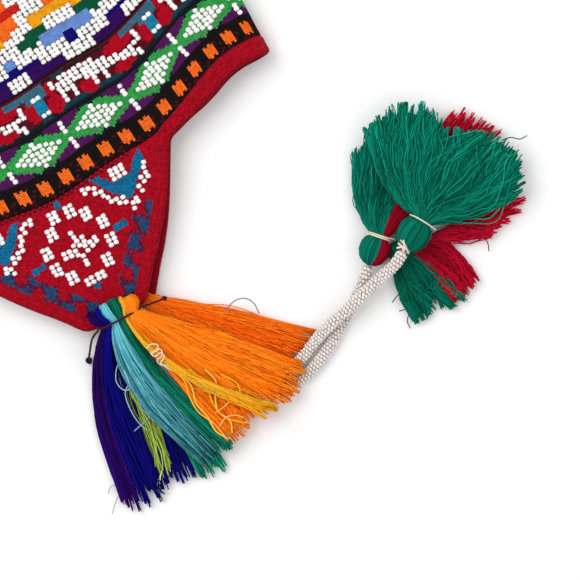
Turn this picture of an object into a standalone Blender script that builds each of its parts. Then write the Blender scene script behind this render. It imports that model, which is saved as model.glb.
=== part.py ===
"""A beaded chullo hat lying flat: knitted crown, ear flaps, edge binding, yarn tassels and beaded straps.

The hat lies on its back layer. +Z is up, +Y runs from the rim to the top of the crown, and the front
layer, the one that is seen, is uppermost. The origin is on the surface below the middle of the crown.
"""

import math
from collections import namedtuple

import bmesh
import bpy
from mathutils import Vector

# Driving sizes, in metres
GAP = 0.0003              # clearance between pieces that touch
WALL = 0.004              # knitted wall with the beads that are knitted into it
CROWN_HALF_WIDTH = 0.1323 # from the middle to the side fold
CROWN_HEIGHT = 0.236      # rim to top, along the middle
STACK = 0.017             # both layers and the air between them, at the rim
STACK_TOP = 0.012         # the same at the top of the crown
TOP_HALF_WIDTH = 0.008    # the rounded point of the crown
STRAIGHT_SHARE = 0.24     # share of the height below which the sides run straight
FLAP_LENGTH = 0.0585      # from the rim to the knitted tip
FLAP_HALF_WIDTH = 0.0615  # at the rim
FLAP_TIP_HALF = 0.0150
FLAP_BULGE = 0.0030       # how far the flap's sides bow out
FLAP_TIP_ROUND = 0.003
FRONT_FLAP_DROOP = 0.0035 # the front flap sinks towards its tip
BACK_FLAP_SKEW = 0.004    # the back flap's tip lies this far to the right
BINDING_FOREHEAD = 0.0092 # width of the red edge binding over the forehead
BINDING_FLAP = 0.0062     # and round the flaps
BINDING_CORNER = 0.009    # radius where it turns from the flap to the forehead
RIM_FLAP_LIFT = 0.0045    # how far the rim rises across the flap
RIM_FOREHEAD_LIFT = 0.0203  # and on across the forehead
RIM_SEAM = 0.0010         # between the crown's rim and what hangs from it
EDGE_SEAM = 0.0005        # between a flap and its binding
STRAP_DIAMETER = 0.0064   # beaded strap, over its beads
TIE_DIAMETER = 0.0018     # cord that ties the front tassel
TIE_TAIL_LEFT = 0.017     # its free ends
TIE_TAIL_RIGHT = 0.012
KNOT_RADIUS = 0.0017

# Soft dents in the front layer: place as shares of the half width and height, depth, and reach
Dent = namedtuple("Dent", "across up depth reach")
DENT_DEPTH = 0.0012
DENTS = (
    Dent(across=0.62, up=0.16, depth=0.9, reach=0.20),
    Dent(across=-0.50, up=0.38, depth=1.0, reach=0.30),
    Dent(across=0.20, up=0.55, depth=0.8, reach=0.26),
)

# Yarn tassels. Each hank is one colour: a folded lobe at the head, a neck and locks that fan out.
# side_*: share of the neck's width where the hank's two edges lie
# lean_*: angle of each edge from the tassel's own line, in degrees, at the cut ends
# bow_*: how much further each edge leans where it leaves the neck
# reach: share of the yarn length; rest: height of the underside of the locks above the surface
Hank = namedtuple("Hank", "name colour side_from side_to lean_from lean_to bow_from bow_to reach locks rest")
# place: the neck; turn: degrees round Z of the tassel's line, which points down (-Y) at 0
Tassel = namedtuple("Tassel", "name place turn neck_height neck_width head_width lobe_length lobe_height "
                              "yarn_length lock_height hanks")

NECK_SHARE = 0.62         # height of a tassel's neck as a share of its head's
DOWN_BY = 0.34            # share of the yarn length by which the locks have come down to their rest
LOCK_TIP_SHARE = 0.88     # width of a lock's cut end as a share of its place in the fan
LOCK_STAGGER = 0.05       # every other lock ends this share short

TIP_Y = -(FLAP_LENGTH + FLAP_TIP_ROUND + EDGE_SEAM + BINDING_FLAP)
FRONT_TIP_TOP = STACK - FRONT_FLAP_DROOP
NECK_Y = TIP_Y - 0.0012

FRONT_TASSEL = Tassel(
    name="front_tassel", place=(0.0015, NECK_Y), turn=0.0,
    neck_height=FRONT_TIP_TOP + GAP, neck_width=0.0210, head_width=0.0280,
    lobe_length=0.0105, lobe_height=0.0078, yarn_length=0.099, lock_height=0.0048,
    hanks=(
        Hank("purple", (0.10, 0.01, 0.22), -0.50, -0.36, -22, -17.5, -30, -26, 0.98, 2, 0.0004),
        Hank("navy", (0.02, 0.01, 0.36), -0.36, -0.22, -17.5, -11.5, -26, -24, 0.97, 2, 0.0004),
        Hank("sky", (0.11, 0.55, 0.72), -0.22, -0.06, 4, 10, -38, -14, 0.90, 3, 0.0061),
        Hank("green", (0.01, 0.25, 0.17), -0.06, 0.10, 10, 12.3, -14, -14, 0.90, 2, 0.0061),
        Hank("yellow", (0.98, 0.72, 0.08), 0.10, 0.18, 27, 31, -28, -33, 0.93, 1, 0.0121),
        Hank("orange", (0.98, 0.32, 0.02), 0.18, 0.50, 12.8, 44, 0, 0, 0.90, 4, 0.0069),
    ),
)
BACK_TASSEL = Tassel(
    name="back_tassel", place=(0.008, TIP_Y - 0.0004), turn=0.0,
    neck_height=WALL + GAP, neck_width=0.0320, head_width=0.0320,
    lobe_length=0.0105, lobe_height=0.0046, yarn_length=0.099, lock_height=0.0052,
    hanks=(
        Hank("lime", (0.62, 0.78, 0.13), -0.52, -0.42, -7.3, -4.2, 3, 3, 0.92, 2, 0.0004),
        Hank("navy", (0.01, 0.01, 0.33), -0.42, -0.32, -4.0, 0, 3, 3, 0.97, 2, 0.0004),
        Hank("green", (0.01, 0.27, 0.18), -0.32, -0.22, 0.3, 8, 3, 0, 0.97, 3, 0.0004),
        Hank("orange", (0.98, 0.30, 0.02), 0.22, 0.50, 40.5, 50, 0, 2, 0.78, 4, 0.0004),
    ),
)
LEFT_END_TASSEL = Tassel(
    name="left_end_tassel", place=(0.1365, -0.0945), turn=131.6,
    neck_height=0.0015, neck_width=0.0100, head_width=0.0155,
    lobe_length=0.0150, lobe_height=0.0118, yarn_length=0.068, lock_height=0.0072,
    hanks=(
        Hank("green", (0.0, 0.30, 0.20), -0.14, 0.50, -2.6, 28.4, 4, 26, 0.80, 4, 0.0004),
        Hank("red", (0.62, 0.01, 0.05), -0.50, -0.14, -26, -11, 12, 10, 1.12, 2, 0.0004),
    ),
)
UPPER_END_TASSEL = Tassel(
    name="upper_end_tassel", place=(0.1590, -0.0973), turn=121.0,
    neck_height=0.0082, neck_width=0.0110, head_width=0.0168,
    lobe_length=0.0172, lobe_height=0.0120, yarn_length=0.066, lock_height=0.0070,
    hanks=(
        Hank("green", (0.0, 0.30, 0.20), -0.50, 0.50, -44, 58, -8, 28, 0.89, 6, 0.0090),
    ),
)
LOWER_END_TASSEL = Tassel(
    name="lower_end_tassel", place=(0.1470, -0.1067), turn=6.0,
    neck_height=0.0004, neck_width=0.0200, head_width=0.0200,
    lobe_length=0.0070, lobe_height=0.0068, yarn_length=0.058, lock_height=0.0056,
    hanks=(
        Hank("green", (0.0, 0.30, 0.20), -0.50, 0.01, -14, 9, -20, 0, 0.63, 4, 0.0004),
        Hank("crimson", (0.55, 0.01, 0.05), 0.01, 0.25, 10, 22, 2, 6, 0.60, 2, 0.0004),
        Hank("red", (0.62, 0.01, 0.05), 0.25, 0.50, 58, 80, -6, 0, 0.86, 2, 0.0004),
    ),
)

# Routes of the beaded straps, chosen by hand, in metres from the middle of the rim. The last stretch
# is worked out from the tassel that each strap carries.
BACK_STRAP_ROUTE = (
    (0.0050, -0.0702, 0.0034), (0.0066, -0.0760, 0.0033), (0.0138, -0.0900, 0.0033),
    (0.0248, -0.1085, 0.0033), (0.0368, -0.1257, 0.0033), (0.0490, -0.1364, 0.0033),
    (0.0615, -0.1400, 0.0033), (0.0690, -0.1394, 0.0033), (0.0760, -0.1375, 0.0033),
    (0.0828, -0.1347, 0.0033), (0.0895, -0.1310, 0.0033), (0.0960, -0.1268, 0.0033),
    (0.1035, -0.1219, 0.0033), (0.1100, -0.1174, 0.0033), (0.1165, -0.1124, 0.0042),
)
FRONT_STRAP_ROUTE = (
    (0.0106, -0.0706, 0.0086), (0.0130, -0.0752, 0.0076), (0.0178, -0.0826, 0.0056),
    (0.0244, -0.0925, 0.0033), (0.0424, -0.1168, 0.0033), (0.0522, -0.1275, 0.0033),
    (0.0620, -0.1323, 0.0033), (0.0695, -0.1315, 0.0033), (0.0760, -0.1290, 0.0033),
    (0.0830, -0.1258, 0.0042), (0.0900, -0.1231, 0.0072), (0.0960, -0.1213, 0.0098),
    (0.1035, -0.1195, 0.0104), (0.1115, -0.1177, 0.0104), (0.1195, -0.1150, 0.0108),
    (0.1275, -0.1128, 0.0112), (0.1335, -0.1114, 0.0124),
)
STRAP_POINT_SPACING = 2.2  # diameters between the points of a strap's tube

# How finely the solids are divided
FLAT_STEPS = 18
FOLD_STEPS = 6
CROWN_RINGS = 11
FLAP_ROWS = 9
FLAP_COLUMNS = 12

# The zero of the sizes above is the middle of the rim; the hat's origin is the middle of the crown.
MIDDLE_OF_CROWN = CROWN_HEIGHT / 2


def smooth(share):
    """Eases from 0 to 1 as share goes from 0 to 1."""
    share = max(0.0, min(1.0, share))
    return share * share * (3 - 2 * share)


def mix(first, second, share):
    return first + (second - first) * share


def rim_rise(x):
    """Height of the rim above its middle, at x across the hat."""
    reach = abs(x) / CROWN_HALF_WIDTH
    across_flap = 1 - math.exp(-((reach / 0.197) ** 2))
    across_forehead = smooth((reach - 0.393) / 0.499)
    return RIM_FLAP_LIFT * across_flap + RIM_FOREHEAD_LIFT * across_forehead


def crown_half_width(up):
    """Half the crown's width at a share of its height: straight sides, then a pointed arch."""
    arch = max(0.0, (up - STRAIGHT_SHARE) / (1 - STRAIGHT_SHARE))
    return mix(TOP_HALF_WIDTH, CROWN_HALF_WIDTH, (1 - arch ** 2.1) ** 0.85)


def crown_stack(up):
    return mix(STACK, STACK_TOP, up ** 3)


def dent(across, up):
    """Depth of the dents in the front layer, at shares of the half width and the height."""
    depth = 0.0
    for d in DENTS:
        away = math.hypot(across - d.across, (up - d.up) * 1.8) / d.reach
        depth += d.depth * math.exp(-away * away)
    return depth * DENT_DEPTH


def crown_ring(up, inset, height):
    """Points round the flattened crown at one level. inset is 0 outside and WALL inside."""
    stack = crown_stack(up)
    outer_radius = stack / 2
    straight = crown_half_width(up) - outer_radius
    radius = outer_radius - inset
    points = []

    def add(x, z, across, front):
        y = height * up + rim_rise(x) * (1 - up)
        points.append(Vector((x, y, z - front * dent(across, up))))

    for i in range(FLAT_STEPS + 1):
        across = 1 - 2 * i / FLAT_STEPS
        fade = smooth((1 - abs(across)) / 0.12)
        add(straight * across, outer_radius + radius, across, fade)
    for i in range(1, FOLD_STEPS):
        turn = math.pi * i / FOLD_STEPS
        add(-straight - radius * math.sin(turn), outer_radius + radius * math.cos(turn), -1, 0)
    for i in range(FLAT_STEPS + 1):
        across = -1 + 2 * i / FLAT_STEPS
        add(straight * across, outer_radius - radius, across, 0)
    for i in range(1, FOLD_STEPS):
        turn = math.pi * i / FOLD_STEPS
        add(straight + radius * math.sin(turn), outer_radius - radius * math.cos(turn), 1, 0)
    return points


def new_material(name, colour, roughness=0.9):
    material = bpy.data.materials.get(name)
    if material is None:
        material = bpy.data.materials.new(name)
        material.use_nodes = True
        shader = material.node_tree.nodes["Principled BSDF"]
        shader.inputs["Base Color"].default_value = (*colour, 1)
        shader.inputs["Roughness"].default_value = roughness
        shader.inputs["Metallic"].default_value = 0
    return material


def new_object(name, mesh, parent, material):
    obj = bpy.data.objects.new(name, mesh)
    bpy.context.scene.collection.objects.link(obj)
    obj.parent = parent
    mesh.materials.append(material)
    return obj


def mesh_from_rings(name, rings, loop=False, flat=False):
    """A skin over rings of points. With loop the last ring joins the first, otherwise both ends are capped.
    A flat ring holds its upper points and then its lower ones, so its cap is a strip between the two."""
    shape = bmesh.new()
    rows = [[shape.verts.new(point) for point in ring] for ring in rings]
    count = len(rows[0])
    pairs = list(zip(rows, rows[1:]))
    if loop:
        pairs.append((rows[-1], rows[0]))
    for low, high in pairs:
        for i in range(count):
            j = (i + 1) % count
            shape.faces.new((low[i], low[j], high[j], high[i]))
    for cap in () if loop else (rows[0][::-1], rows[-1]):
        if flat:
            for i in range(count // 2 - 1):
                shape.faces.new((cap[i], cap[i + 1], cap[-2 - i], cap[-1 - i]))
        else:
            shape.faces.new(cap)
    if shape.calc_volume(signed=True) < 0:
        bmesh.ops.reverse_faces(shape, faces=shape.faces)
    mesh = bpy.data.meshes.new(name)
    shape.to_mesh(mesh)
    shape.free()
    mesh.shade_smooth()
    mesh.set_sharp_from_angle(angle=math.radians(40))
    return mesh


def make_crown(hat):
    """The knitted crown: a flattened, hollow pouch, open at the rim."""
    outer = [crown_ring(i / CROWN_RINGS, 0.0, CROWN_HEIGHT) for i in range(CROWN_RINGS + 1)]
    inner = [crown_ring(i / CROWN_RINGS, WALL, CROWN_HEIGHT - WALL) for i in range(CROWN_RINGS + 1)]
    mesh = mesh_from_rings("crown", inner[::-1] + outer)
    return new_object("crown", mesh, hat, new_material("crown_knit", (0.30, 0.02, 0.05)))


def flap_edge(along):
    """The flap's right edge, from the rim at 0 to the tip at 1."""
    start = Vector((FLAP_HALF_WIDTH, rim_rise(FLAP_HALF_WIDTH) - RIM_SEAM))
    end = Vector((FLAP_TIP_HALF, -FLAP_LENGTH))
    run = end - start
    outward = Vector((-run.y, run.x)).normalized()
    return start.lerp(end, along) + outward * FLAP_BULGE * math.sin(math.pi * along)


def flap_place(x, y, front):
    """Where a point of the flaps' flat plan lies: its sideways shift and the middle of the wall."""
    down = smooth(-y / FLAP_LENGTH)
    if front:
        return x, STACK - WALL / 2 - FRONT_FLAP_DROOP * down
    return x + BACK_FLAP_SKEW * down, WALL / 2


def make_flap(name, hat, front):
    """One ear flap: a knitted slab that hangs from the rim between its bound edges."""
    upper, lower = [], []
    for row in range(FLAP_ROWS + 1):
        along = row / FLAP_ROWS
        edge = flap_edge(along)
        line = []
        for column in range(FLAP_COLUMNS + 1):
            across = 2 * column / FLAP_COLUMNS - 1
            x = across * edge.x
            rise = rim_rise(x) - rim_rise(edge.x)
            y = edge.y + rise * (1 - along) - FLAP_TIP_ROUND * along ** 6 * (1 - across * across)
            shifted, middle = flap_place(x, y, front)
            line.append((shifted, y, middle))
        upper.append([Vector((x, y, z + WALL / 2)) for x, y, z in line])
        lower.append([Vector((x, y, z - WALL / 2)) for x, y, z in line])
    rings = [top + bottom[::-1] for top, bottom in zip(upper, lower)]
    mesh = mesh_from_rings(name, rings, flat=True)
    return new_object(name, mesh, hat, new_material("flap_knit", (0.48, 0.01, 0.04)))


def rounded_turn(before, corner, after, radius, steps=5):
    """Points of an arc that rounds a corner of a flat path."""
    into, out = (corner - before).normalized(), (after - corner).normalized()
    turn = into.angle(out)
    back = radius * math.tan(turn / 2)
    start, end = corner - into * back, corner + out * back
    points = []
    for i in range(steps + 1):
        share = i / steps
        points.append(start.lerp(corner, share).lerp(corner.lerp(end, share), share))
    return points


def binding_quarter(skew):
    """Middle line of the binding from a flap's tip to the side fold, in plan, with its width at each point.
    skew shifts the flap's tip sideways. The outline on the left is the mirror image of one with -skew."""
    flap_off, forehead_off = EDGE_SEAM + BINDING_FLAP / 2, RIM_SEAM + BINDING_FOREHEAD / 2

    def skewed(along):
        edge = flap_edge(along)
        return edge + Vector((skew * smooth(-edge.y / FLAP_LENGTH), 0))

    side = []
    for i in range(8):
        along = 1 - i / 7
        ahead = skewed(max(0, along - 0.02)) - skewed(min(1, along + 0.02))
        outward = Vector((ahead.y, -ahead.x)).normalized()
        side.append(skewed(along) + outward * flap_off)
    forehead = []
    straight = CROWN_HALF_WIDTH - STACK / 2
    start = FLAP_HALF_WIDTH + BINDING_CORNER
    for i in range(8):
        x = mix(start, straight, i / 7)
        slope = (rim_rise(x + 0.001) - rim_rise(x - 0.001)) / 0.002
        outward = Vector((slope, -1)).normalized() * mix(flap_off, forehead_off, smooth(i / 3))
        point = Vector((x, rim_rise(x))) + outward
        forehead.append(Vector((x, point.y)) if i == 7 else point)
    corner_side = side[-2].lerp(side[-1], 0.9)
    ahead = (side[-1] - side[-3]).normalized()
    level = (forehead[1] - forehead[0]).normalized()
    cross = ahead.x * level.y - ahead.y * level.x
    between = forehead[0] - corner_side
    corner = corner_side + ahead * ((between.x * level.y - between.y * level.x) / cross)
    tip = Vector((skew, -FLAP_LENGTH - FLAP_TIP_ROUND - flap_off))
    tip_corner = Vector((skew + (side[0].x - skew) * 0.88, tip.y))
    path = [tip] + rounded_turn(tip, tip_corner, side[1], BINDING_FLAP * 0.9, 4)
    widths = [BINDING_FLAP] * len(path)
    path += side[1:-2]
    widths += [BINDING_FLAP] * len(side[1:-2])
    bend = rounded_turn(side[-3], corner, forehead[1], BINDING_CORNER)
    path += bend
    widths += [BINDING_FLAP] * len(bend)
    for i, point in enumerate(forehead[1:], 1):
        path.append(point)
        widths.append(mix(BINDING_FLAP, BINDING_FOREHEAD, smooth(i / 3)))
    return path, widths


def make_binding(hat):
    """The red edge binding: one closed band round the rim and both flaps, joined at the side folds."""
    fold_radius = STACK / 2 - WALL / 2
    straight = CROWN_HALF_WIDTH - STACK / 2
    stations = []

    def add_quarter(side, front, inward):
        path, widths = binding_quarter(0 if front else side * BACK_FLAP_SKEW)
        normal = Vector((0, 0, 1 if front else -1))
        line = []
        for point, width in zip(path, widths):
            height = flap_place(point.x, point.y, front)[1]
            line.append((Vector((side * point.x, point.y, height)), normal, width))
        stations.extend(line[:0:-1] if inward else line)
        return path[-1].y

    def add_fold(side, edge):
        for i in range(1, FOLD_STEPS):
            turn = math.pi * i / FOLD_STEPS
            normal = Vector((side * math.sin(turn), 0, side * math.cos(turn)))
            centre = Vector((side * straight, edge, STACK / 2)) + normal * fold_radius
            stations.append((centre, normal, BINDING_FOREHEAD))

    edge = add_quarter(1, True, False)
    add_fold(1, edge)
    add_quarter(1, False, True)
    add_quarter(-1, False, False)
    add_fold(-1, edge)
    add_quarter(-1, True, True)
    section = ((-1, -0.5), (-1, 0.5), (-0.6, 1), (0.55, 1), (1, 0.35), (1, -0.35), (0.55, -1), (-0.6, -1))
    rings = []
    count = len(stations)
    for i, (centre, normal, width) in enumerate(stations):
        ahead = (stations[(i + 1) % count][0] - stations[i - 1][0]).normalized()
        outward = ahead.cross(normal).normalized()
        ring = []
        for across, up in section:
            ring.append(centre + outward * across * width / 2 + normal * up * WALL / 2)
        rings.append(ring)
    mesh = mesh_from_rings("edge_binding", rings, loop=True)
    return new_object("edge_binding", mesh, hat, new_material("binding_red", (0.55, 0.0, 0.03)))


def knot_mesh(centre, radii):
    shape = bmesh.new()
    bmesh.ops.create_icosphere(shape, subdivisions=1, radius=1.0)
    bmesh.ops.scale(shape, vec=radii, verts=shape.verts)
    bmesh.ops.translate(shape, vec=centre, verts=shape.verts)
    mesh = bpy.data.meshes.new("knot")
    shape.to_mesh(mesh)
    shape.free()
    return mesh


def hank_edge(tassel, hank, share, along):
    """A point in plan of the line that lies at a share of the hank's width, along its yarn."""
    side = mix(hank.side_from, hank.side_to, share) * tassel.neck_width
    lean = math.radians(mix(hank.lean_from, hank.lean_to, share))
    bow = math.radians(mix(hank.bow_from, hank.bow_to, share))
    angle = lean + bow * (1 - along) ** 1.5
    run = along * tassel.yarn_length * hank.reach
    return Vector((side + run * math.sin(angle), -run * math.cos(angle), 0))


def hank_ring(tassel, hank, along, shares, crests):
    """A cross-section of a hank: upper points at the shares of its width, and then the lower ones."""
    head = max(0.0, -along)
    run = max(0.0, along)
    left, right = hank_edge(tassel, hank, 0.0, run), hank_edge(tassel, hank, 1.0, run)
    inset = GAP / 2 / max(0.001, (right - left).length)
    spread = smooth(head / 0.5)
    round_off = math.sqrt(max(0.0, 1 - max(0.0, (head - 0.55) / 0.46) ** 2))
    down = smooth(run / DOWN_BY)
    height = mix(tassel.lobe_height * mix(NECK_SHARE, 1.0, spread) * round_off, tassel.lock_height, down)
    neck_middle = tassel.neck_height + tassel.lobe_height / 2
    middle = mix(neck_middle, hank.rest + tassel.lock_height / 2, down)
    if along >= 1.0:
        height *= 0.6
    points = []
    for share, crest in zip(shares, crests):
        share = mix(inset, 1 - inset, share)
        place = hank_edge(tassel, hank, share, run)
        if head > 0:
            place.y = head * tassel.lobe_length
            wide = mix(place.x, place.x * tassel.head_width / tassel.neck_width, spread)
            centre = (hank.side_from + hank.side_to) / 2 * mix(tassel.neck_width, tassel.head_width, spread)
            place.x = mix(centre, wide, round_off)
        points.append(place + Vector((0, 0, middle + crest * height / 2)))
    return points


def hank_mesh(tassel, hank):
    """One hank as one body: its folded lobe at the head, its neck, and locks that part at the cut ends."""
    count = hank.locks
    upper, lower = [], []
    for index in range(count):
        edge = 0.35 if index == 0 else 0.72
        upper += [(index / count, edge), ((index + 0.28) / count, 1.0), ((index + 0.72) / count, 0.96)]
        lower += [(index / count, -edge), ((index + 0.5) / count, -1.0)]
    upper.append((1.0, 0.35))
    lower.append((1.0, -0.35))
    shape = bmesh.new()

    def add_ring(along, points, pull=None):
        shares = [share if pull is None else mix(pull, share, LOCK_TIP_SHARE) for share, crest in points]
        crests = [crest for share, crest in points]
        return [shape.verts.new(place) for place in hank_ring(tassel, hank, along, shares, crests)]

    def add_skin(low, high):
        for k, vert in enumerate(low):
            after = (k + 1) % len(low)
            shape.faces.new((vert, low[after], high[after], high[k]))

    whole = upper + lower[::-1]
    rows = [add_ring(along, whole) for along in (-1.0, -0.86, -0.55, -0.2, 0.0, 0.09, 0.2, 0.36, 0.76)]
    shape.faces.new(rows[0][::-1])
    for low, high in zip(rows, rows[1:]):
        add_skin(low, high)
    top, bottom = rows[-1][:len(upper)], rows[-1][len(upper):][::-1]
    for index in range(count):
        start = top[3 * index:3 * index + 4] + bottom[2 * index:2 * index + 3][::-1]
        points = upper[3 * index:3 * index + 4] + lower[2 * index:2 * index + 3][::-1]
        cut = 1 - LOCK_STAGGER * (index % 2)
        middle = (index + 0.5) / count
        near, end = add_ring(0.9 * cut, points, middle), add_ring(1.0 * cut, points, middle)
        add_skin(start, near)
        add_skin(near, end)
        shape.faces.new(end)
    if shape.calc_volume(signed=True) < 0:
        bmesh.ops.reverse_faces(shape, faces=shape.faces)
    mesh = bpy.data.meshes.new(hank.name)
    shape.to_mesh(mesh)
    shape.free()
    mesh.shade_smooth()
    mesh.set_sharp_from_angle(angle=math.radians(50))
    return mesh


def fuse(name, meshes, parent, material):
    """Joins overlapping closed shapes into one solid with Boolean unions."""
    whole = new_object(name, meshes[0], parent, material)
    for number, mesh in enumerate(meshes[1:]):
        other = new_object(f"{name}_join_{number}", mesh, parent, material)
        other.hide_render = True
        other.display_type = "WIRE"
        union = whole.modifiers.new(f"join_{number}", "BOOLEAN")
        union.operation = "UNION"
        union.object = other
    return whole


def make_tassel(tassel, hat):
    """A tassel: hanks of yarn folded at the head, tied at the neck and fanned out on the surface."""
    frame = bpy.data.objects.new(tassel.name, None)
    bpy.context.scene.collection.objects.link(frame)
    frame.parent = hat
    frame.location = (*tassel.place, 0)
    frame.rotation_euler = (0, 0, math.radians(tassel.turn))
    for hank in tassel.hanks:
        material = new_material(f"yarn_{hank.name}", hank.colour)
        new_object(f"{tassel.name}_{hank.name}", hank_mesh(tassel, hank), frame, material)


def tassel_line(tassel):
    """Direction in plan from a tassel's head to its cut ends."""
    turn = math.radians(tassel.turn)
    return Vector((math.sin(turn), -math.cos(turn), 0))


def strap_route(route, tassel, share):
    """The chosen route, ended against the head of the strap's tassel at a share of its width."""
    line = tassel_line(tassel)
    across = Vector((-line.y, line.x, 0))
    centre = Vector((*tassel.place, tassel.neck_height + tassel.lobe_height / 2))
    pole = centre - line * (tassel.lobe_length + 3 * GAP) + across * share * tassel.head_width
    return [Vector(point) for point in route] + [pole - line * STRAP_DIAMETER * 0.9, pole]


def smooth_curve(points, spacing):
    """Points at an even spacing along a smooth curve through the given ones."""
    ends = [points[0] * 2 - points[1], *points, points[-1] * 2 - points[-2]]
    dense = []
    for a, b, c, d in zip(ends, ends[1:], ends[2:], ends[3:]):
        for i in range(12):
            t = i / 12
            dense.append(0.5 * (2 * b + (c - a) * t + (2 * a - 5 * b + 4 * c - d) * t * t
                                + (3 * b - a - 3 * c + d) * t ** 3))
    dense.append(points[-1])
    total = sum((q - p).length for p, q in zip(dense, dense[1:]))
    steps = max(2, round(total / spacing))
    even, run, wanted = [dense[0]], 0.0, total / steps
    for p, q in zip(dense, dense[1:]):
        length = (q - p).length
        while len(even) < steps and run + length >= wanted * len(even) - 1e-9:
            even.append(p.lerp(q, (wanted * len(even) - run) / length))
        run += length
    even.append(dense[-1])
    return even


def make_tube(name, points, radius, parent, material):
    """A round tube along a route, as a curve with a bevel and filled caps."""
    curve = bpy.data.curves.new(name, "CURVE")
    curve.dimensions = "3D"
    curve.bevel_depth = radius
    curve.bevel_resolution = 2
    curve.use_fill_caps = True
    spline = curve.splines.new("POLY")
    spline.points.add(len(points) - 1)
    for slot, point in zip(spline.points, points):
        slot.co = (*point, 1)
    obj = bpy.data.objects.new(name, curve)
    bpy.context.scene.collection.objects.link(obj)
    obj.parent = parent
    curve.materials.append(material)
    return obj


def make_strap(name, route, tassel, share, hat):
    """A beaded strap: a round rope that runs from a flap's tip to its tassel."""
    points = smooth_curve(strap_route(route, tassel, share), STRAP_DIAMETER * STRAP_POINT_SPACING)
    make_tube(name, points, STRAP_DIAMETER / 2, hat, new_material("white_beads", (0.86, 0.84, 0.80), 0.3))


def tube_mesh(points, radius, closed=False):
    """A six-sided tube along points, for the tie cord."""
    rings = []
    count = len(points)
    for i, point in enumerate(points):
        before = points[i - 1] if closed or i > 0 else point
        after = points[(i + 1) % count] if closed or i < count - 1 else point
        ahead = (after - before).normalized()
        helper = Vector((0, 1, 0)) if abs(ahead.y) < 0.9 else Vector((0, 0, 1))
        side = ahead.cross(helper).normalized()
        up = side.cross(ahead).normalized()
        rings.append([
            point + side * radius * math.cos(math.pi * k / 3) + up * radius * math.sin(math.pi * k / 3)
            for k in range(6)
        ])
    return mesh_from_rings("tie", rings, loop=closed)


def make_tie(hat):
    """The dark cord round the front tassel's neck, with its two free ends and the knot on the left one."""
    tassel = FRONT_TASSEL
    radius = TIE_DIAMETER / 2
    half = tassel.neck_width / 2 + radius + 0.0016
    neck_half = tassel.lobe_height * 0.31 + GAP + radius
    centre = Vector((*tassel.place, tassel.neck_height + tassel.lobe_height / 2))
    loop = []
    for i in range(20):
        turn = 2 * math.pi * i / 20
        c, s = math.cos(turn), math.sin(turn)
        x = math.copysign(abs(c) ** 0.35, c) * half
        z = math.copysign(abs(s) ** 0.8, s) * (neck_half + 0.0011)
        loop.append(centre + Vector((x, 0, z)))
    left = centre + Vector((-half, 0, 0))
    right = centre + Vector((half, 0, 0))
    left_end = left + Vector((-0.72, -0.62, 0)).normalized() * TIE_TAIL_LEFT
    left_end.z = KNOT_RADIUS * 1.2
    left_tail = [left, left.lerp(left_end, 0.3) + Vector((-0.001, 0.001, 0.003)),
                 left.lerp(left_end, 0.7) + Vector((-0.001, 0, 0.001)), left_end]
    right_end = right + Vector((0.98, -0.12, 0)).normalized() * TIE_TAIL_RIGHT
    right_tail = [right, right.lerp(right_end, 0.5) + Vector((0, 0, 0.001)), right_end]
    knot = knot_mesh(left_end, Vector((KNOT_RADIUS, KNOT_RADIUS * 1.2, KNOT_RADIUS)))
    meshes = [tube_mesh(loop, radius, closed=True), tube_mesh(left_tail, radius * 0.9),
              tube_mesh(right_tail, radius * 0.9), knot]
    fuse("front_tassel_tie", meshes, hat, new_material("tie_cord", (0.10, 0.01, 0.03)))


def main():
    for obj in list(bpy.data.objects):
        bpy.data.objects.remove(obj)
    hat = bpy.data.objects.new("hat", None)
    bpy.context.scene.collection.objects.link(hat)
    hat.location = (0, -MIDDLE_OF_CROWN, 0)
    make_crown(hat)
    make_flap("ear_flap_front", hat, True)
    make_flap("ear_flap_back", hat, False)
    make_binding(hat)
    for tassel in (FRONT_TASSEL, BACK_TASSEL, LEFT_END_TASSEL, UPPER_END_TASSEL, LOWER_END_TASSEL):
        make_tassel(tassel, hat)
    make_tie(hat)
    make_strap("beaded_strap_back", BACK_STRAP_ROUTE, LEFT_END_TASSEL, 0.0, hat)
    make_strap("beaded_strap_front", FRONT_STRAP_ROUTE, UPPER_END_TASSEL, 0.0, hat)


main()
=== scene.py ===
import math

import bpy
import numpy as np
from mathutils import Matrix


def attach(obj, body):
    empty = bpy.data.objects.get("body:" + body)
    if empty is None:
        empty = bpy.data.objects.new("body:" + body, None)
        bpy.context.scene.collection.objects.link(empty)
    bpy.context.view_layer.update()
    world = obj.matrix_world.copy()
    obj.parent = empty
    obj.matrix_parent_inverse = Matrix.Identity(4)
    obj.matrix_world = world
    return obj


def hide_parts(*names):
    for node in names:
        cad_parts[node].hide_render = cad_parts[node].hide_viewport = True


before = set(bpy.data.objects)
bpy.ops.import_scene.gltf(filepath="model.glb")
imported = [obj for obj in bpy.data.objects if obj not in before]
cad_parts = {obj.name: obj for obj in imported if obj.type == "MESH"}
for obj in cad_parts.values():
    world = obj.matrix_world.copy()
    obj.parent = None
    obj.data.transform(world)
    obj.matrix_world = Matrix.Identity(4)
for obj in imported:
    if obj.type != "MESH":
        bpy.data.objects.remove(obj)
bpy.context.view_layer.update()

# Camera, floor and light.
# The hat lies flat on a white table and is seen from straight above, turned a little in the frame,
# under broad soft light. All places below are in millimetres from the middle of the hat's rim.
HAT_SHIFT = (0.0, -118.0, 0.0)
VIEW_MIDDLE = (83.9, -96.8)
VIEW_HEIGHT = 1200.0
VIEW_SPAN = 294.06
VIEW_ROLL = -28.0
SENSOR = 36.0


def to_frame(points):
    """Millimetres from the middle of the rim, as metres in the shared frame."""
    return (np.asarray(points, dtype=float) + HAT_SHIFT) / 1000


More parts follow.
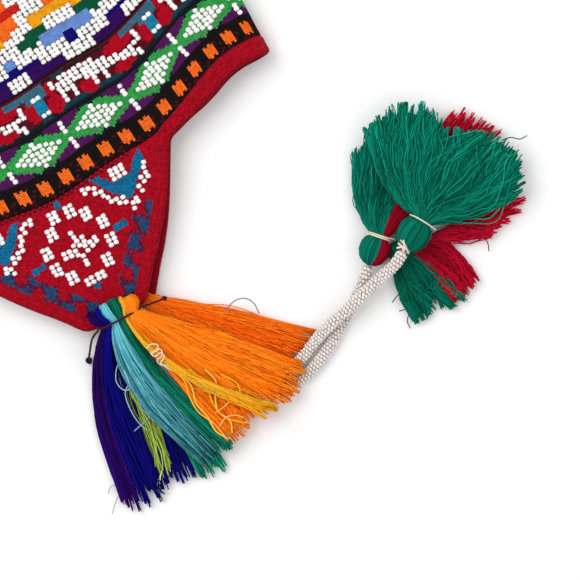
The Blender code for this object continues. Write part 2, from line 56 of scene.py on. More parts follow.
lens = bpy.data.cameras.new("top_view")
lens.sensor_width = SENSOR
lens.lens = SENSOR * VIEW_HEIGHT / VIEW_SPAN
camera = bpy.data.objects.new("top_view", lens)
camera.location = to_frame((*VIEW_MIDDLE, VIEW_HEIGHT + 12))
camera.rotation_euler = (0, 0, math.radians(VIEW_ROLL))
bpy.context.scene.collection.objects.link(camera)
bpy.context.scene.camera = camera
bpy.context.scene.view_settings.view_transform = "Standard"

for name, place, size, power in (
    ("key_light", (-0.45, 0.65, 1.45), 1.3, 16),
    ("fill_light", (0.9, -0.7, 1.5), 1.8, 5),
):
    light = bpy.data.lights.new(name, "AREA")
    light.size = size
    light.energy = power
    lamp = bpy.data.objects.new(name, light)
    lamp.location = place
    away = np.array(place) - np.array((0.05, -0.15, 0))
    lamp.rotation_euler = (
        math.atan2(math.hypot(away[0], away[1]), away[2]), 0, math.atan2(away[0], -away[1]))
    bpy.context.scene.collection.objects.link(lamp)
world = bpy.data.worlds.new("soft_room")
world.use_nodes = True
world.node_tree.nodes["Background"].inputs["Color"].default_value = (1, 1, 1, 1)
world.node_tree.nodes["Background"].inputs["Strength"].default_value = 0.70
bpy.context.scene.world = world

floor_mesh = bpy.data.meshes.new("table_top")
floor_mesh.from_pydata([(-3, -3, 0), (3, -3, 0), (3, 3, 0), (-3, 3, 0)], [], [(0, 1, 2, 3)])
floor = bpy.data.objects.new("table_top", floor_mesh)
bpy.context.scene.collection.objects.link(floor)
paper = bpy.data.materials.new("white_paper")
paper.use_nodes = True
paper_shader = paper.node_tree.nodes["Principled BSDF"]
paper_shader.inputs["Roughness"].default_value = 0.9
paper_shader.inputs["Specular IOR Level"].default_value = 0.1
paper_grain = paper.node_tree.nodes.new("ShaderNodeTexNoise")
paper_grain.inputs["Scale"].default_value = 900
paper_tone = paper.node_tree.nodes.new("ShaderNodeMapRange")
paper_tone.inputs["To Min"].default_value = 0.93
paper_tone.inputs["To Max"].default_value = 0.95
paper.node_tree.links.new(paper_grain.outputs["Fac"], paper_tone.inputs["Value"])
paper.node_tree.links.new(paper_tone.outputs["Result"], paper_shader.inputs["Base Color"])
floor_mesh.materials.append(paper)

# Crown knit.
# The crown is worked in the round in fine wool, 384 V-shaped stitches to a row, in bands of many
# colours, then narrowed to a rounded point. It lies flattened: a front layer, side folds, a back layer.
CROWN_HALF_WIDTH = 132.3
CROWN_HEIGHT = 236.0
STACK = 17.0
STACK_TOP = 12.0
TOP_HALF_WIDTH = 8.0
STRAIGHT_SHARE = 0.24
DENT_DEPTH = 1.2
DENTS = ((0.62, 0.16, 0.9, 0.20), (-0.50, 0.38, 1.0, 0.30), (0.20, 0.55, 0.8, 0.26))
ROW = 1.15
STITCH = 1.515
EVEN_STITCHES = 43
HALF_FRONT = 94
HALF_BACK = 98
EVEN_ROWS = 92
ROWS = 203
NARROWING_STEP = 8
WALE_LEAN = 0.05
WALE_LEAN_GROWTH = 0.0011
FRONT_INSET = 1.3
BACK_INSET = 0.35
KNIT_THICKNESS = 2.6
KNIT_TONE, KNIT_TONE_SPREAD, KNIT_TONE_LIMITS = 1.05, 0.11, (0.7, 1.35)
RIM_FLAP_LIFT = 4.5
RIM_FOREHEAD_LIFT = 20.3
FOLD_OVER = 2.4
FOLD_OVER_STITCHES = 16
FOLD_OVER_STEPS = 8


def ease(share):
    """Eases from 0 to 1 as share goes from 0 to 1."""
    share = np.clip(share, 0.0, 1.0)
    return share * share * (3 - 2 * share)


def mix(first, second, share):
    return first + (second - first) * share


def unit_rows(vectors):
    """The vectors of an array at length one."""
    return vectors / np.linalg.norm(vectors, axis=-1, keepdims=True)


def grid_faces(rows, columns):
    """Quads of a grid of points, which has one more row and one more column than the quads."""
    wide = columns + 1
    corner = (np.arange(rows)[:, None] * wide + np.arange(columns)[None, :]).ravel()
    return np.stack([corner, corner + 1, corner + 1 + wide, corner + wide], axis=1)


def rim_rise(x):
    """Height of the rim above its middle, at x across the hat."""
    reach = np.abs(x) / CROWN_HALF_WIDTH
    near_flap = 1 - np.exp(-((reach / 0.197) ** 2))
    return RIM_FLAP_LIFT * near_flap + RIM_FOREHEAD_LIFT * ease((reach - 0.393) / 0.499)


def crown_half_width(up):
    arch = np.clip((up - STRAIGHT_SHARE) / (1 - STRAIGHT_SHARE), 0, 1)
    return mix(TOP_HALF_WIDTH, CROWN_HALF_WIDTH, (1 - arch ** 2.1) ** 0.85)


def crown_place(share, height, lift, front):
    """A point of the crown's knit. share runs from -1 at the left fold to 1 at the right one,
    height is measured up the knit from the rim, and lift outwards from the wool's surface."""
    share, height = np.broadcast_arrays(np.asarray(share, float), np.asarray(height, float))
    grown = np.clip(height / CROWN_HEIGHT, 0, 1)
    up = grown
    for _ in range(3):
        stack = mix(STACK, STACK_TOP, up ** 3)
        radius = stack / 2
        straight = crown_half_width(up) - radius
        run = share * (straight + math.pi / 2 * radius)
        lean = (WALE_LEAN + WALE_LEAN_GROWTH * run) * (1 - share ** 4)
        run = run - lean * (height - 10) * (1 - grown) ** 0.5
        turn = np.clip(np.abs(run) - straight, 0, None) / radius
        x = np.sign(run) * np.where(turn > 0, straight + radius * np.sin(turn), np.abs(run))
        rise = rim_rise(x)
        y = height + rise * (1 - grown) ** 0.75
        up = np.clip((y - rise) / (CROWN_HEIGHT - rise), 0, 1)
    side = 1.0 if front else -1.0
    inset = mix(FRONT_INSET, BACK_INSET, ease(turn / (math.pi / 2)) * 0.5) if front else \
        mix(BACK_INSET, FRONT_INSET, ease(turn / (math.pi / 2)) * 0.5)
    out = radius - inset + lift
    x = np.sign(run) * np.where(turn > 0, straight + out * np.sin(turn), np.abs(run))
    z = radius + side * out * np.cos(turn)
    if front:
        across = np.clip(run / straight, -1, 1)
        fade = ease((1 - np.abs(across)) / 0.12)
        for place, level, depth, reach in DENTS:
            away = np.hypot(across - place, (up - level) * 1.8) / reach
            z = z - DENT_DEPTH * depth * np.exp(-away * away) * fade
    return np.stack([x, y, z], axis=-1)


def dye(code):
    """A colour written as in a dyer's card, as the linear values a shader takes."""
    values = [int(code[i:i + 2], 16) / 255 for i in (0, 2, 4)]
    return tuple(v / 12.92 if v <= 0.04045 else ((v + 0.055) / 1.055) ** 2.4 for v in values)


# One dark grey in this table is painted shade: it is the ground under the crown's beads, standing in for
# the shade in the gaps between them.
WOOL = {
    "black": dye("17110F"), "shade": dye("4A3E42"), "night": dye("12202A"), "maroon": dye("5A0E1B"),
    "crimson": dye("B40620"), "teal": dye("1686AC"), "slate": dye("3C6C84"), "petrol": dye("123F4C"),
    "orange": dye("FA6E22"), "plum": dye("541557"), "green": dye("35A24C"), "sage": dye("5C8A5A"),
    "purple": dye("33075A"), "navy": dye("140770"), "cornflower": dye("6E92D6"), "pine": dye("08563A"),
    "gold": dye("F7A514"), "red": dye("D22418"), "oat": dye("D8CFC4"),
}
BLOCK_PITCH, BLOCK_WIDTH, BLOCK_START = 8, 4, -3
LOZENGE_PITCH, LOZENGE_START, LOZENGE_FIRST_ROW, LOZENGE_ROWS = 24, -10, 12, 16
LOZENGE_MIDDLE = 7.8
LOZENGE_HALF_ROWS = (5.9, 6.9, 7.4, 6.8, 6.3, 5.8, 5.2, 4.7, 4.2, 3.6, 3.1, 2.6)
ANIMAL_PITCH, ANIMAL_START, ANIMAL_FIRST_ROW, ANIMAL_ROWS = 48, 12, 30, 16
# Red ovals of the animal band: middle stitch, middle row, half width, half height
ANIMAL_OVALS = ((5.1, 4.3, 3.0, 4.1), (5.9, 11.4, 2.7, 3.2), (18.2, 3.6, 3.3, 3.6), (32.7, 3.0, 4.8, 2.6),
                (34.5, 12.3, 7.0, 3.4), (44.5, 7.0, 2.6, 5.0))
BIRD_START, BIRD_FIRST_ROW, BIRD_CELLS, BIRD_LEVELS = 10, 48, 12, 16
# Half repeat of the broad band, one word per column of two stitches, from its foot up, two rows a letter:
# W beads, P purple, N navy, B cornflower, G pine, Y gold, O orange, R red
BIRD_CHART = ("WWWNNBBWWWYYRRRR", "WWWNWWWWWWWOOORR", "PPPNWWWWWWWOOOOR", "PPPNWWWGGWWWOOOR",
              "PPPNWWWGGWWWOOOR", "PPWWWWGGGGWWWWWR", "PPWWWWWGGGWWWWWR", "PPWWWBBBGGYYYWWW",
              "PPWWWBBBGGYYYWWW", "WWWWWBBBWWWYYWWW", "WWWWWBBBWWWYYWWW", "WWWNNNBBWWWYYOOR")
CHART_WOOL = {"P": "purple", "N": "navy", "B": "cornflower", "G": "pine", "Y": "gold", "O": "orange",
              "R": "red"}
TOP_STRIPES = (("black", 2), ("crimson", 7), ("gold", 2), ("petrol", 6), ("orange", 2), ("plum", 7),
               ("green", 3), ("navy", 6), ("cornflower", 2), ("crimson", 8), ("black", 2),
               ("orange", 3), ("purple", 7), ("teal", 3), ("crimson", 40))


def bird_letter(stitch, row):
    """The chart letter of the broad band at a stitch and row; the band is worked up and then mirrored."""
    cell = int((stitch - BIRD_START) // 2) % (2 * BIRD_CELLS)
    level = (row - BIRD_FIRST_ROW) // 2
    if level >= BIRD_LEVELS:
        level = 2 * BIRD_LEVELS - 1 - level
    return BIRD_CHART[cell if cell < BIRD_CELLS else 2 * BIRD_CELLS - 1 - cell][level]


def crown_wool(stitch, row, beaded):
    """The wool of one stitch: the bands from the rim up."""
    if row < LOZENGE_FIRST_ROW:
        lit = 2 <= row - stitch % 2 < 8 and (stitch - BLOCK_START) % BLOCK_PITCH < BLOCK_WIDTH
        fleck = (stitch * 29 + row * row * 13) % 17 < 3 - row // 3
        return "orange" if lit else "maroon" if fleck else "black"
    if row < LOZENGE_FIRST_ROW + LOZENGE_ROWS:
        local = (stitch - LOZENGE_START) % LOZENGE_PITCH + 0.5
        away = abs(local - 13)
        away = min(away, LOZENGE_PITCH - away)
        level = row - LOZENGE_FIRST_ROW + 0.5 - LOZENGE_MIDDLE
        if abs(level) < LOZENGE_HALF_ROWS[int(away)]:
            return "sage" if level < -4 and (stitch * 7 + row * 3) % 5 < 2 else "green"
        return "plum" if away > 4.5 else "night"
    if row < ANIMAL_FIRST_ROW:
        return "night" if row % 2 else "black"
    if row < ANIMAL_FIRST_ROW + ANIMAL_ROWS:
        local = (stitch - ANIMAL_START) % ANIMAL_PITCH + 0.5
        level = row - ANIMAL_FIRST_ROW + 0.5
        side = local if local < ANIMAL_PITCH / 2 else local - ANIMAL_PITCH
        if abs(side) < 2 and 4 < level < 11.5:
            return "teal"
        if abs(side) < 4 and level > 9.5 or side < 0 and side > -12 and level > 13:
            return "slate"
        if abs(side) < 2 and level < 4:
            return "petrol"
        for middle, centre, half_width, half_height in ANIMAL_OVALS:
            if ((local - middle) / half_width) ** 2 + ((level - centre) / half_height) ** 2 < 1:
                return "crimson"
        if level < 2 and 6 < local < 30 or level > 14 and 8 < local < 13:
            return "petrol"
        return "night" if level < 1.2 or level > 15 else "maroon"
    if row < BIRD_FIRST_ROW:
        return "black" if row % 2 else "maroon"
    if row < BIRD_FIRST_ROW + 4 * BIRD_LEVELS:
        letter = bird_letter(stitch, row)
        # Where beads sit, the ground is the dark grey of painted shade for the gaps between beads; without
        # beads it is oat.
        return CHART_WOOL.get(letter, "shade" if beaded else "oat")
    left = row - BIRD_FIRST_ROW - 4 * BIRD_LEVELS
    for number, (name, height) in enumerate(TOP_STRIPES):
        if left < height:
            if left == 0 and number and stitch % 2:
                return TOP_STRIPES[number - 1][0]
            return name
        left -= height
    return "crimson"


# Shape across one stitch at its quarter points: how far each point lies along the column, in rows,
# and how high it stands. Two bulged legs make the V.
STITCH_RISE = {4: (0.34, 0.0, -0.34, 0.0), 2: (0.34, -0.34), 1: (0.0,)}
STITCH_BULGE = {4: (-0.20, 0.16, -0.10, 0.16), 2: (-0.16, 0.12), 1: (0.0,)}


def knit_patch(place, first, stitches, first_row, rows, parts, wool):
    """A patch of knitting as points, faces, a colour per face and stitch coordinates per point.
    place turns stitch, row and lift into points; wool names the yarn of one stitch."""
    stitch, row = np.meshgrid(np.arange(stitches * parts + 1), np.arange(rows + 1))
    part = stitch % parts
    along = first_row + row + np.array(STITCH_RISE[parts])[part]
    across = first + stitch / parts
    points = place(across, along, np.array(STITCH_BULGE[parts])[part])
    shades = np.array([[WOOL[wool(first + s, first_row + r)] for s in range(stitches)]
                       for r in range(rows)])
    shades = shades * np.random.default_rng(rows + stitches).normal(
        KNIT_TONE, KNIT_TONE_SPREAD, (rows, stitches, 1)).clip(*KNIT_TONE_LIMITS)
    shades = np.repeat(shades, parts, axis=1).reshape(-1, 3)
    return (points.reshape(-1, 3), grid_faces(rows, stitches * parts), shades,
            np.stack([across, along], axis=-1).reshape(-1, 2))


def join_patches(patches):
    """Joins patches of one piece into single arrays."""
    start, faces = 0, []
    for points, quads, _, _ in patches:
        faces.append(quads + start)
        start += len(points)
    return (np.concatenate([p[0] for p in patches]), np.concatenate(faces),
            np.concatenate([p[2] for p in patches]), np.concatenate([p[3] for p in patches]))


def make_piece(name, points, faces, material, face_dyes=None, point_dyes=None, place=None):
    """A mesh object from millimetre points, with its dyes as a colour attribute and its own coordinates."""
    mesh = bpy.data.meshes.new(name)
    mesh.from_pydata(to_frame(points).tolist(), [], faces if isinstance(faces, list) else faces.tolist())
    if face_dyes is not None:
        sizes = np.empty(len(mesh.polygons), dtype=np.int32)
        mesh.polygons.foreach_get("loop_total", sizes)
        corners = np.repeat(np.c_[face_dyes, np.ones(len(face_dyes))], sizes, axis=0)
        layer = mesh.color_attributes.new(name="dye", type="FLOAT_COLOR", domain="CORNER")
        layer.data.foreach_set("color", corners.ravel())
    if point_dyes is not None:
        layer = mesh.color_attributes.new(name="dye", type="FLOAT_COLOR", domain="POINT")
        layer.data.foreach_set("color", np.c_[point_dyes, np.ones(len(point_dyes))].ravel())
    if place is not None:
        used = np.empty(len(mesh.loops), dtype=np.int32)
        mesh.loops.foreach_get("vertex_index", used)
        mesh.uv_layers.new(name="yarn").data.foreach_set("uv", np.asarray(place)[used].ravel())
    mesh.shade_smooth()
    mesh.materials.append(material)
    mesh.update()
    piece = bpy.data.objects.new(name, mesh)
    bpy.context.scene.collection.objects.link(piece)
    return piece


def new_group(name, inputs, outputs):
    """A shader node group with named inputs, each with its value, and named outputs."""
    group = bpy.data.node_groups.new(name, "ShaderNodeTree")
    for label, (kind, value) in inputs.items():
        socket = group.interface.new_socket(name=label, in_out="INPUT", socket_type=kind)
        if value is not None:
            socket.default_value = value
    for label, kind in outputs.items():
        group.interface.new_socket(name=label, in_out="OUTPUT", socket_type=kind)
    return group, group.nodes.new("NodeGroupInput"), group.nodes.new("NodeGroupOutput")


# Yarn: uneven dye, twisted plies and loose fibres, from coordinates that run across and along it.
yarn, yarn_in, yarn_out = new_group(
    "yarn_surface",
    {"Dye": ("NodeSocketColor", (0.5, 0.5, 0.5, 1)), "Place": ("NodeSocketVector", None),
     "Twist Scale": ("NodeSocketFloat", 1.5), "Fibre Scale": ("NodeSocketFloat", 5.0),
     "Mottle": ("NodeSocketFloat", 0.25), "Depth": ("NodeSocketFloat", 0.4),
     "Stitch Width": ("NodeSocketFloat", 1.5), "Stitch Height": ("NodeSocketFloat", 1.15),
     "Stitch Depth": ("NodeSocketFloat", 0.0)},
    {"Color": "NodeSocketColor", "Roughness": "NodeSocketFloat", "Normal": "NodeSocketVector"})


def yarn_math(operation, first, second=None, third=None):
    """A maths node in the yarn group; each operand is a number or an output."""
    node = yarn.nodes.new("ShaderNodeMath")
    node.operation = operation
    for slot, operand in enumerate((first, second, third)):
        if isinstance(operand, (int, float)):
            node.inputs[slot].default_value = operand
        elif operand is not None:
            yarn.links.new(operand, node.inputs[slot])
    return node.outputs[0]


# A stitch is two legs that lean together: each leg bulges across and along its row. The colour is painted
# darker in the hollows between legs and rows and lighter on the bulges, as painted shade and painted light,
# by as much as Stitch Depth asks.
split = yarn.nodes.new("ShaderNodeSeparateXYZ")
yarn.links.new(yarn_in.outputs["Place"], split.inputs[0])
column = yarn_math("FRACT", yarn_math("DIVIDE", split.outputs["X"], yarn_in.outputs["Stitch Width"]))
from_middle = yarn_math("ABSOLUTE", yarn_math("SUBTRACT", column, 0.5))
level = yarn_math("DIVIDE", split.outputs["Y"], yarn_in.outputs["Stitch Height"])
level = yarn_math("FRACT", yarn_math("MULTIPLY_ADD", from_middle, -1.36, yarn_math("ADD", level, 0.34)))
along_leg = yarn_math("MULTIPLY", yarn_math("MULTIPLY", level, yarn_math("SUBTRACT", 1.0, level)), 4.0)
leg = yarn_math("FRACT", yarn_math("MULTIPLY", column, 2.0))
across_leg = yarn_math("MULTIPLY", yarn_math("MULTIPLY", leg, yarn_math("SUBTRACT", 1.0, leg)), 4.0)
bulge = yarn_math("POWER", yarn_math("MAXIMUM", yarn_math("MULTIPLY", along_leg, across_leg), 0.0), 0.7)
hollow = yarn_math("MULTIPLY", yarn_math("SUBTRACT", 0.62, bulge), yarn_in.outputs["Stitch Depth"])
painted_stitch_shade = yarn_math("SUBTRACT", 1.0, hollow)
stitch_height = yarn_math("MULTIPLY", yarn_math("MULTIPLY", bulge, yarn_in.outputs["Stitch Depth"]), 3.0)
mottle = yarn.nodes.new("ShaderNodeTexNoise")
mottle.inputs["Detail"].default_value = 3
twist = yarn.nodes.new("ShaderNodeTexWave")
twist.bands_direction = "DIAGONAL"
twist.inputs["Distortion"].default_value = 2.0
twist.inputs["Detail"].default_value = 2.0
gain = yarn.nodes.new("ShaderNodeMath")
gain.operation = "SUBTRACT"
gain.inputs[1].default_value = 0.5
spread = yarn.nodes.new("ShaderNodeMath")
spread.operation = "MULTIPLY"
value = yarn.nodes.new("ShaderNodeMath")
value.operation = "MULTIPLY_ADD"
value.inputs[1].default_value = 2.0
value.inputs[2].default_value = 1.0
# The colour's value is the random mottle times the painted stitch shade.
mottle_with_painted_shade = yarn_math("MULTIPLY", value.outputs[0], painted_stitch_shade)
tint = yarn.nodes.new("ShaderNodeHueSaturation")
rough = yarn.nodes.new("ShaderNodeMapRange")
rough.inputs["To Min"].default_value = 0.78
rough.inputs["To Max"].default_value = 0.95
height = yarn.nodes.new("ShaderNodeMath")
height.operation = "ADD"
bump = yarn.nodes.new("ShaderNodeBump")
bump.inputs["Distance"].default_value = 0.0003
for source, target in (
    (yarn_in.outputs["Place"], mottle.inputs["Vector"]),
    (yarn_in.outputs["Fibre Scale"], mottle.inputs["Scale"]),
    (yarn_in.outputs["Place"], twist.inputs["Vector"]),
    (yarn_in.outputs["Twist Scale"], twist.inputs["Scale"]),
    (mottle.outputs["Fac"], gain.inputs[0]),
    (gain.outputs[0], spread.inputs[0]),
    (yarn_in.outputs["Mottle"], spread.inputs[1]),
    (spread.outputs[0], value.inputs[0]),
    (mottle_with_painted_shade, tint.inputs["Value"]),
    (yarn_in.outputs["Dye"], tint.inputs["Color"]),
    (mottle.outputs["Fac"], rough.inputs["Value"]),
    (mottle.outputs["Fac"], height.inputs[0]),
    (twist.outputs["Fac"], height.inputs[1]),
    (yarn_math("ADD", height.outputs[0], stitch_height), bump.inputs["Height"]),
    (yarn_in.outputs["Depth"], bump.inputs["Strength"]),
    (tint.outputs["Color"], yarn_out.inputs["Color"]),
    (rough.outputs["Result"], yarn_out.inputs["Roughness"]),
    (bump.outputs["Normal"], yarn_out.inputs["Normal"]),
):
    yarn.links.new(source, target)


def yarn_material(name, twist_scale, fibre_scale, mottle_share, depth, sheen, from_object=False,
                  stitch=None):
    """A yarn finish that takes its colour from the piece's dye attribute. stitch is the width, height and
    depth of the stitches that show in it; the depth also sets how much shade and light are painted into the
    colour across each stitch."""
    material = bpy.data.materials.new(name)
    material.use_nodes = True
    nodes, links = material.node_tree.nodes, material.node_tree.links
    shader = nodes["Principled BSDF"]
    shader.inputs["Specular IOR Level"].default_value = 0.08
    shader.inputs["Sheen Weight"].default_value = sheen
    shader.inputs["Sheen Roughness"].default_value = 0.5
    dyes = nodes.new("ShaderNodeVertexColor")
    dyes.layer_name = "dye"
    surface = nodes.new("ShaderNodeGroup")
    surface.node_tree = yarn
    surface.inputs["Twist Scale"].default_value = twist_scale
    surface.inputs["Fibre Scale"].default_value = fibre_scale
    surface.inputs["Mottle"].default_value = mottle_share
    surface.inputs["Depth"].default_value = depth
    for label, size in zip(("Stitch Width", "Stitch Height", "Stitch Depth"), stitch or (1.0, 1.0, 0.0)):
        surface.inputs[label].default_value = size
    if from_object:
        place = nodes.new("ShaderNodeTexCoord").outputs["Object"]
    else:
        place = nodes.new("ShaderNodeUVMap")
        place.uv_map = "yarn"
        place = place.outputs["UV"]
    links.new(dyes.outputs["Color"], surface.inputs["Dye"])
    links.new(place, surface.inputs["Place"])
    links.new(surface.outputs["Color"], shader.inputs["Base Color"])
    links.new(surface.outputs["Roughness"], shader.inputs["Roughness"])
    links.new(surface.outputs["Normal"], shader.inputs["Normal"])
    return material


knit_finish = yarn_material("crown_knit_wool", 1.6, 0.9, 0.55, 0.5, 0.02, stitch=(STITCH, ROW, 1.2))


def stitch_share(stitch):
    """Share of the way to the fold at a stitch of the front layer: a little tighter near the folds."""
    fold = float(crown_half_width(0.0)) - STACK / 2 + math.pi / 4 * STACK
    even = STITCH * EVEN_STITCHES
    narrow = (fold - even) / (HALF_FRONT - EVEN_STITCHES)
    reach = np.abs(stitch)
    run = np.where(reach < EVEN_STITCHES, STITCH * reach, even + narrow * (reach - EVEN_STITCHES))
    return run * np.sign(stitch) / fold


def front_place(stitch, row, lift):
    return crown_place(stitch_share(stitch), row * ROW, lift, True)


def layer_width(row):
    """Width of the flattened crown at a row as a share of its width at the rim."""
    up = row * ROW / CROWN_HEIGHT
    return float(crown_half_width(np.array(up)) / CROWN_HALF_WIDTH)


def narrowing_patches(half, sign, parts):
    """The rows above the broad bands, with fewer stitches every few rows."""
    patches = []
    for row in range(EVEN_ROWS, ROWS, NARROWING_STEP):
        rows = min(NARROWING_STEP, ROWS - row)
        count = max(4, round(half * layer_width(row + rows / 2) / layer_width(EVEN_ROWS)))
        scale = half / count

        def place(stitch, at_row, lift, count=count):
            return crown_place(stitch / count * sign, at_row * ROW, lift, sign > 0)

        def wool(stitch, at_row, scale=scale):
            return crown_wool(int(stitch * scale), at_row, sign > 0)

        patches.append(knit_patch(place, -count, 2 * count, row, rows, parts, wool))
    return patches


def back_place(stitch, row, lift):
    return crown_place(-stitch / HALF_BACK, row * ROW, lift, False)


def back_wool(stitch, row):
    return crown_wool(int(stitch + HALF_FRONT + HALF_BACK), row, False)


def top_fold():
    """The last stitches, which turn over the top from the front layer to the back one."""
    share, turn = np.meshgrid(np.linspace(-1, 1, FOLD_OVER_STITCHES + 1),
                              np.linspace(0, math.pi, FOLD_OVER_STEPS + 1))
    near, far = (crown_place(share, ROWS * ROW, 0.0, front) for front in (True, False))
    middle, half = (near + far) / 2, (near - far) / 2
    points = middle + half * np.cos(turn)[..., None] + np.array((0, FOLD_OVER, 0)) * np.sin(turn)[..., None]
    faces = grid_faces(FOLD_OVER_STEPS, FOLD_OVER_STITCHES)
    return (points.reshape(-1, 3), faces, np.tile(WOOL["crimson"], (len(faces), 1)),
            np.stack([share * 5, ROWS + turn], axis=-1).reshape(-1, 2))


knit_parts = (
    ("crown_knit_front", [knit_patch(front_place, -HALF_FRONT, 2 * HALF_FRONT, 0, EVEN_ROWS, 4,
                                     lambda s, r: crown_wool(s, r, True))]),
    ("crown_knit_top", narrowing_patches(HALF_FRONT, 1, 2) + [top_fold()]),
    ("crown_knit_back", [knit_patch(back_place, -HALF_BACK, 2 * HALF_BACK, 0, EVEN_ROWS, 1, back_wool)]
        + narrowing_patches(HALF_BACK, -1, 1)),
)
for name, patches in knit_parts:
    points, faces, shades, places = join_patches(patches)
    knit = make_piece(name, points, faces, knit_finish, face_dyes=shades, place=places * (STITCH, ROW))
    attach(knit, "root")
    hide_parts("crown")

# Inside of the crown.
# The wrong side of the knitting, where the yarns that aren't in use are carried across in loose floats.
# It lines the crown all round, and turns out to the right side at the rim.
LINING_COLUMNS = 48
LINING_ROWS = 36
lining_patches = []
for front in (True, False):
    share, level = np.meshgrid(np.linspace(-1, 1, LINING_COLUMNS + 1), np.linspace(0, 1, LINING_ROWS + 1))
    inner = crown_place(share, 0.6 + level * (ROWS * ROW - 3), -KNIT_THICKNESS, front)
    edge = crown_place(share[:1], 0.0, -0.2, front)
    grid = np.concatenate([edge, inner])
    if not front:
        grid = grid[:, ::-1]
    faces = grid_faces(LINING_ROWS + 1, LINING_COLUMNS)[:, [0, 3, 2, 1]]
    bands = [WOOL[("maroon", "night", "plum", "petrol")[r // 6 % 4]] for r in range(LINING_ROWS + 1)]
    shades = np.repeat(np.array(bands)[:, None], LINING_COLUMNS, axis=1).reshape(-1, 3)
    points = grid.reshape(-1, 3)
    lining_patches.append((points, faces, shades, points[:, :2]))
points, faces, shades, places = join_patches(lining_patches)
lining = make_piece("crown_inside", points, faces, knit_finish, face_dyes=shades, place=places)
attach(lining, "root")
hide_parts("crown")

# Beads of the crown.
# White glass seed beads, threaded on the wool and knitted in one by one, each over two stitches and
# two rows with its hole up the column. They sit in rows in the lozenges, the animals and the birds.
BEAD_PROFILE = ((0.40, -1.18), (1.14, -1.00), (1.50, 0.0), (1.14, 1.00), (0.40, 1.18))
BEAD_INSET = -0.02
LOZENGE_BEAD_RISE, BETWEEN_BEAD_RISE = 2.25, 2.1
LOZENGE_BEADS = {2: 1, 3: 2, 4: 3, 5: 4, 6: 6, 7: 4, 8: 3, 9: 2, 10: 1}
ANIMAL_BEADS = {
    -1: (1, 5), 0: (1, 5), 3: (5, 6), 4: (1, 2, 3, 4, 5), 5: (3, 4, 5, 6), 6: (1, 2, 3, 4, 5, 6),
    7: (4, 5, 6), 8: (4, 5, 6), 9: (3, 4, 5, 6), 10: (1, 2, 3, 4, 5, 6), 11: (3, 4, 5, 6),
    12: (1, 2, 3, 4, 5), 13: (3, 4, 5),
    14: (3, 4), 15: (3, 4), 16: (2, 3), 17: (2, 3), 18: (1, 2, 3), 19: (0, 1, 3), 20: (3, 4, 5)}
GLASS_TONES = ((0.95, 0.93, 0.90), (0.97, 0.96, 0.95), (0.95, 0.88, 0.87), (0.92, 0.92, 0.93),
               (0.96, 0.92, 0.89))


def bead_field(spots, profile, size, seed, wander=0.14, tip=0.12, sides=8, sunk=3):
    """Beads at many spots as one mesh. A spot is a place with its across, hole and outward directions.
    sunk is the number of sides left out, turned to the wool that holds the bead."""
    rng = np.random.default_rng(seed)
    turn = 2 * math.pi * (np.arange(sides) + 0.5) / sides
    shape = np.array([[(r * math.cos(t), h, r * math.sin(t)) for t in turn]
                      for r, h in profile]).reshape(-1, 3)
    places = np.array([s[0] for s in spots])
    frames = np.array([s[1] for s in spots])
    count, rings = len(spots), len(profile)
    lean = rng.normal(0, tip, (count, 2))
    hole = frames[:, 1] + frames[:, 0] * lean[:, :1] + frames[:, 2] * lean[:, 1:]
    hole = unit_rows(hole)
    across = unit_rows(np.cross(hole, frames[:, 2]))
    outward = np.cross(across, hole)
    axes = np.stack([across, hole, outward], axis=1)
    for axis in (0, 1):
        places = places + frames[:, axis] * rng.normal(0, wander, (count, 1))
    scale = size * rng.uniform(0.94, 1.04, (count, 1, 1))
    points = places[:, None] + (shape[None] * scale) @ axes
    ring, side = np.meshgrid(np.arange(rings), np.arange(sides), indexing="ij")
    after, beside = (ring + 1) % rings, (side + 1) % sides
    quads = np.stack([ring * sides + side, after * sides + side,
                      after * sides + beside, ring * sides + beside], axis=-1).reshape(-1, 4)
    quads = quads[(np.abs(side.ravel() + 1 - 0.75 * sides) >= sunk / 2)]
    faces = (quads[None] + (np.arange(count) * rings * sides)[:, None, None]).reshape(-1, 4)
    tones = np.array(GLASS_TONES)[rng.choice(len(GLASS_TONES), count, p=(0.32, 0.26, 0.16, 0.10, 0.16))]
    tones = tones * rng.uniform(0.93, 1.05, (count, 1))
    return points.reshape(-1, 3), faces, np.repeat(tones, rings * sides, axis=0)


glass = bpy.data.materials.new("white_seed_beads")
glass.use_nodes = True
glass_nodes, glass_links = glass.node_tree.nodes, glass.node_tree.links
glass_shader = glass_nodes["Principled BSDF"]
glass_shader.inputs["Coat Weight"].default_value = 0.6
glass_shader.inputs["Coat Roughness"].default_value = 0.12
glass_tone = glass_nodes.new("ShaderNodeVertexColor")
glass_tone.layer_name = "dye"
glass_noise = glass_nodes.new("ShaderNodeTexNoise")
glass_noise.inputs["Scale"].default_value = 700
glass_where = glass_nodes.new("ShaderNodeTexCoord")
glass_value = glass_nodes.new("ShaderNodeMapRange")
glass_value.inputs["To Min"].default_value = 0.90
glass_value.inputs["To Max"].default_value = 1.06
glass_tint = glass_nodes.new("ShaderNodeHueSaturation")
glass_rough = glass_nodes.new("ShaderNodeMapRange")
glass_rough.inputs["To Min"].default_value = 0.18
glass_rough.inputs["To Max"].default_value = 0.42
for source, target in (
    (glass_where.outputs["Object"], glass_noise.inputs["Vector"]),
    (glass_noise.outputs["Fac"], glass_value.inputs["Value"]),
    (glass_noise.outputs["Fac"], glass_rough.inputs["Value"]),
    (glass_tone.outputs["Color"], glass_tint.inputs["Color"]),
    (glass_value.outputs["Result"], glass_tint.inputs["Value"]),
    (glass_tint.outputs["Color"], glass_shader.inputs["Base Color"]),
    (glass_rough.outputs["Result"], glass_shader.inputs["Roughness"]),
):
    glass_links.new(source, target)


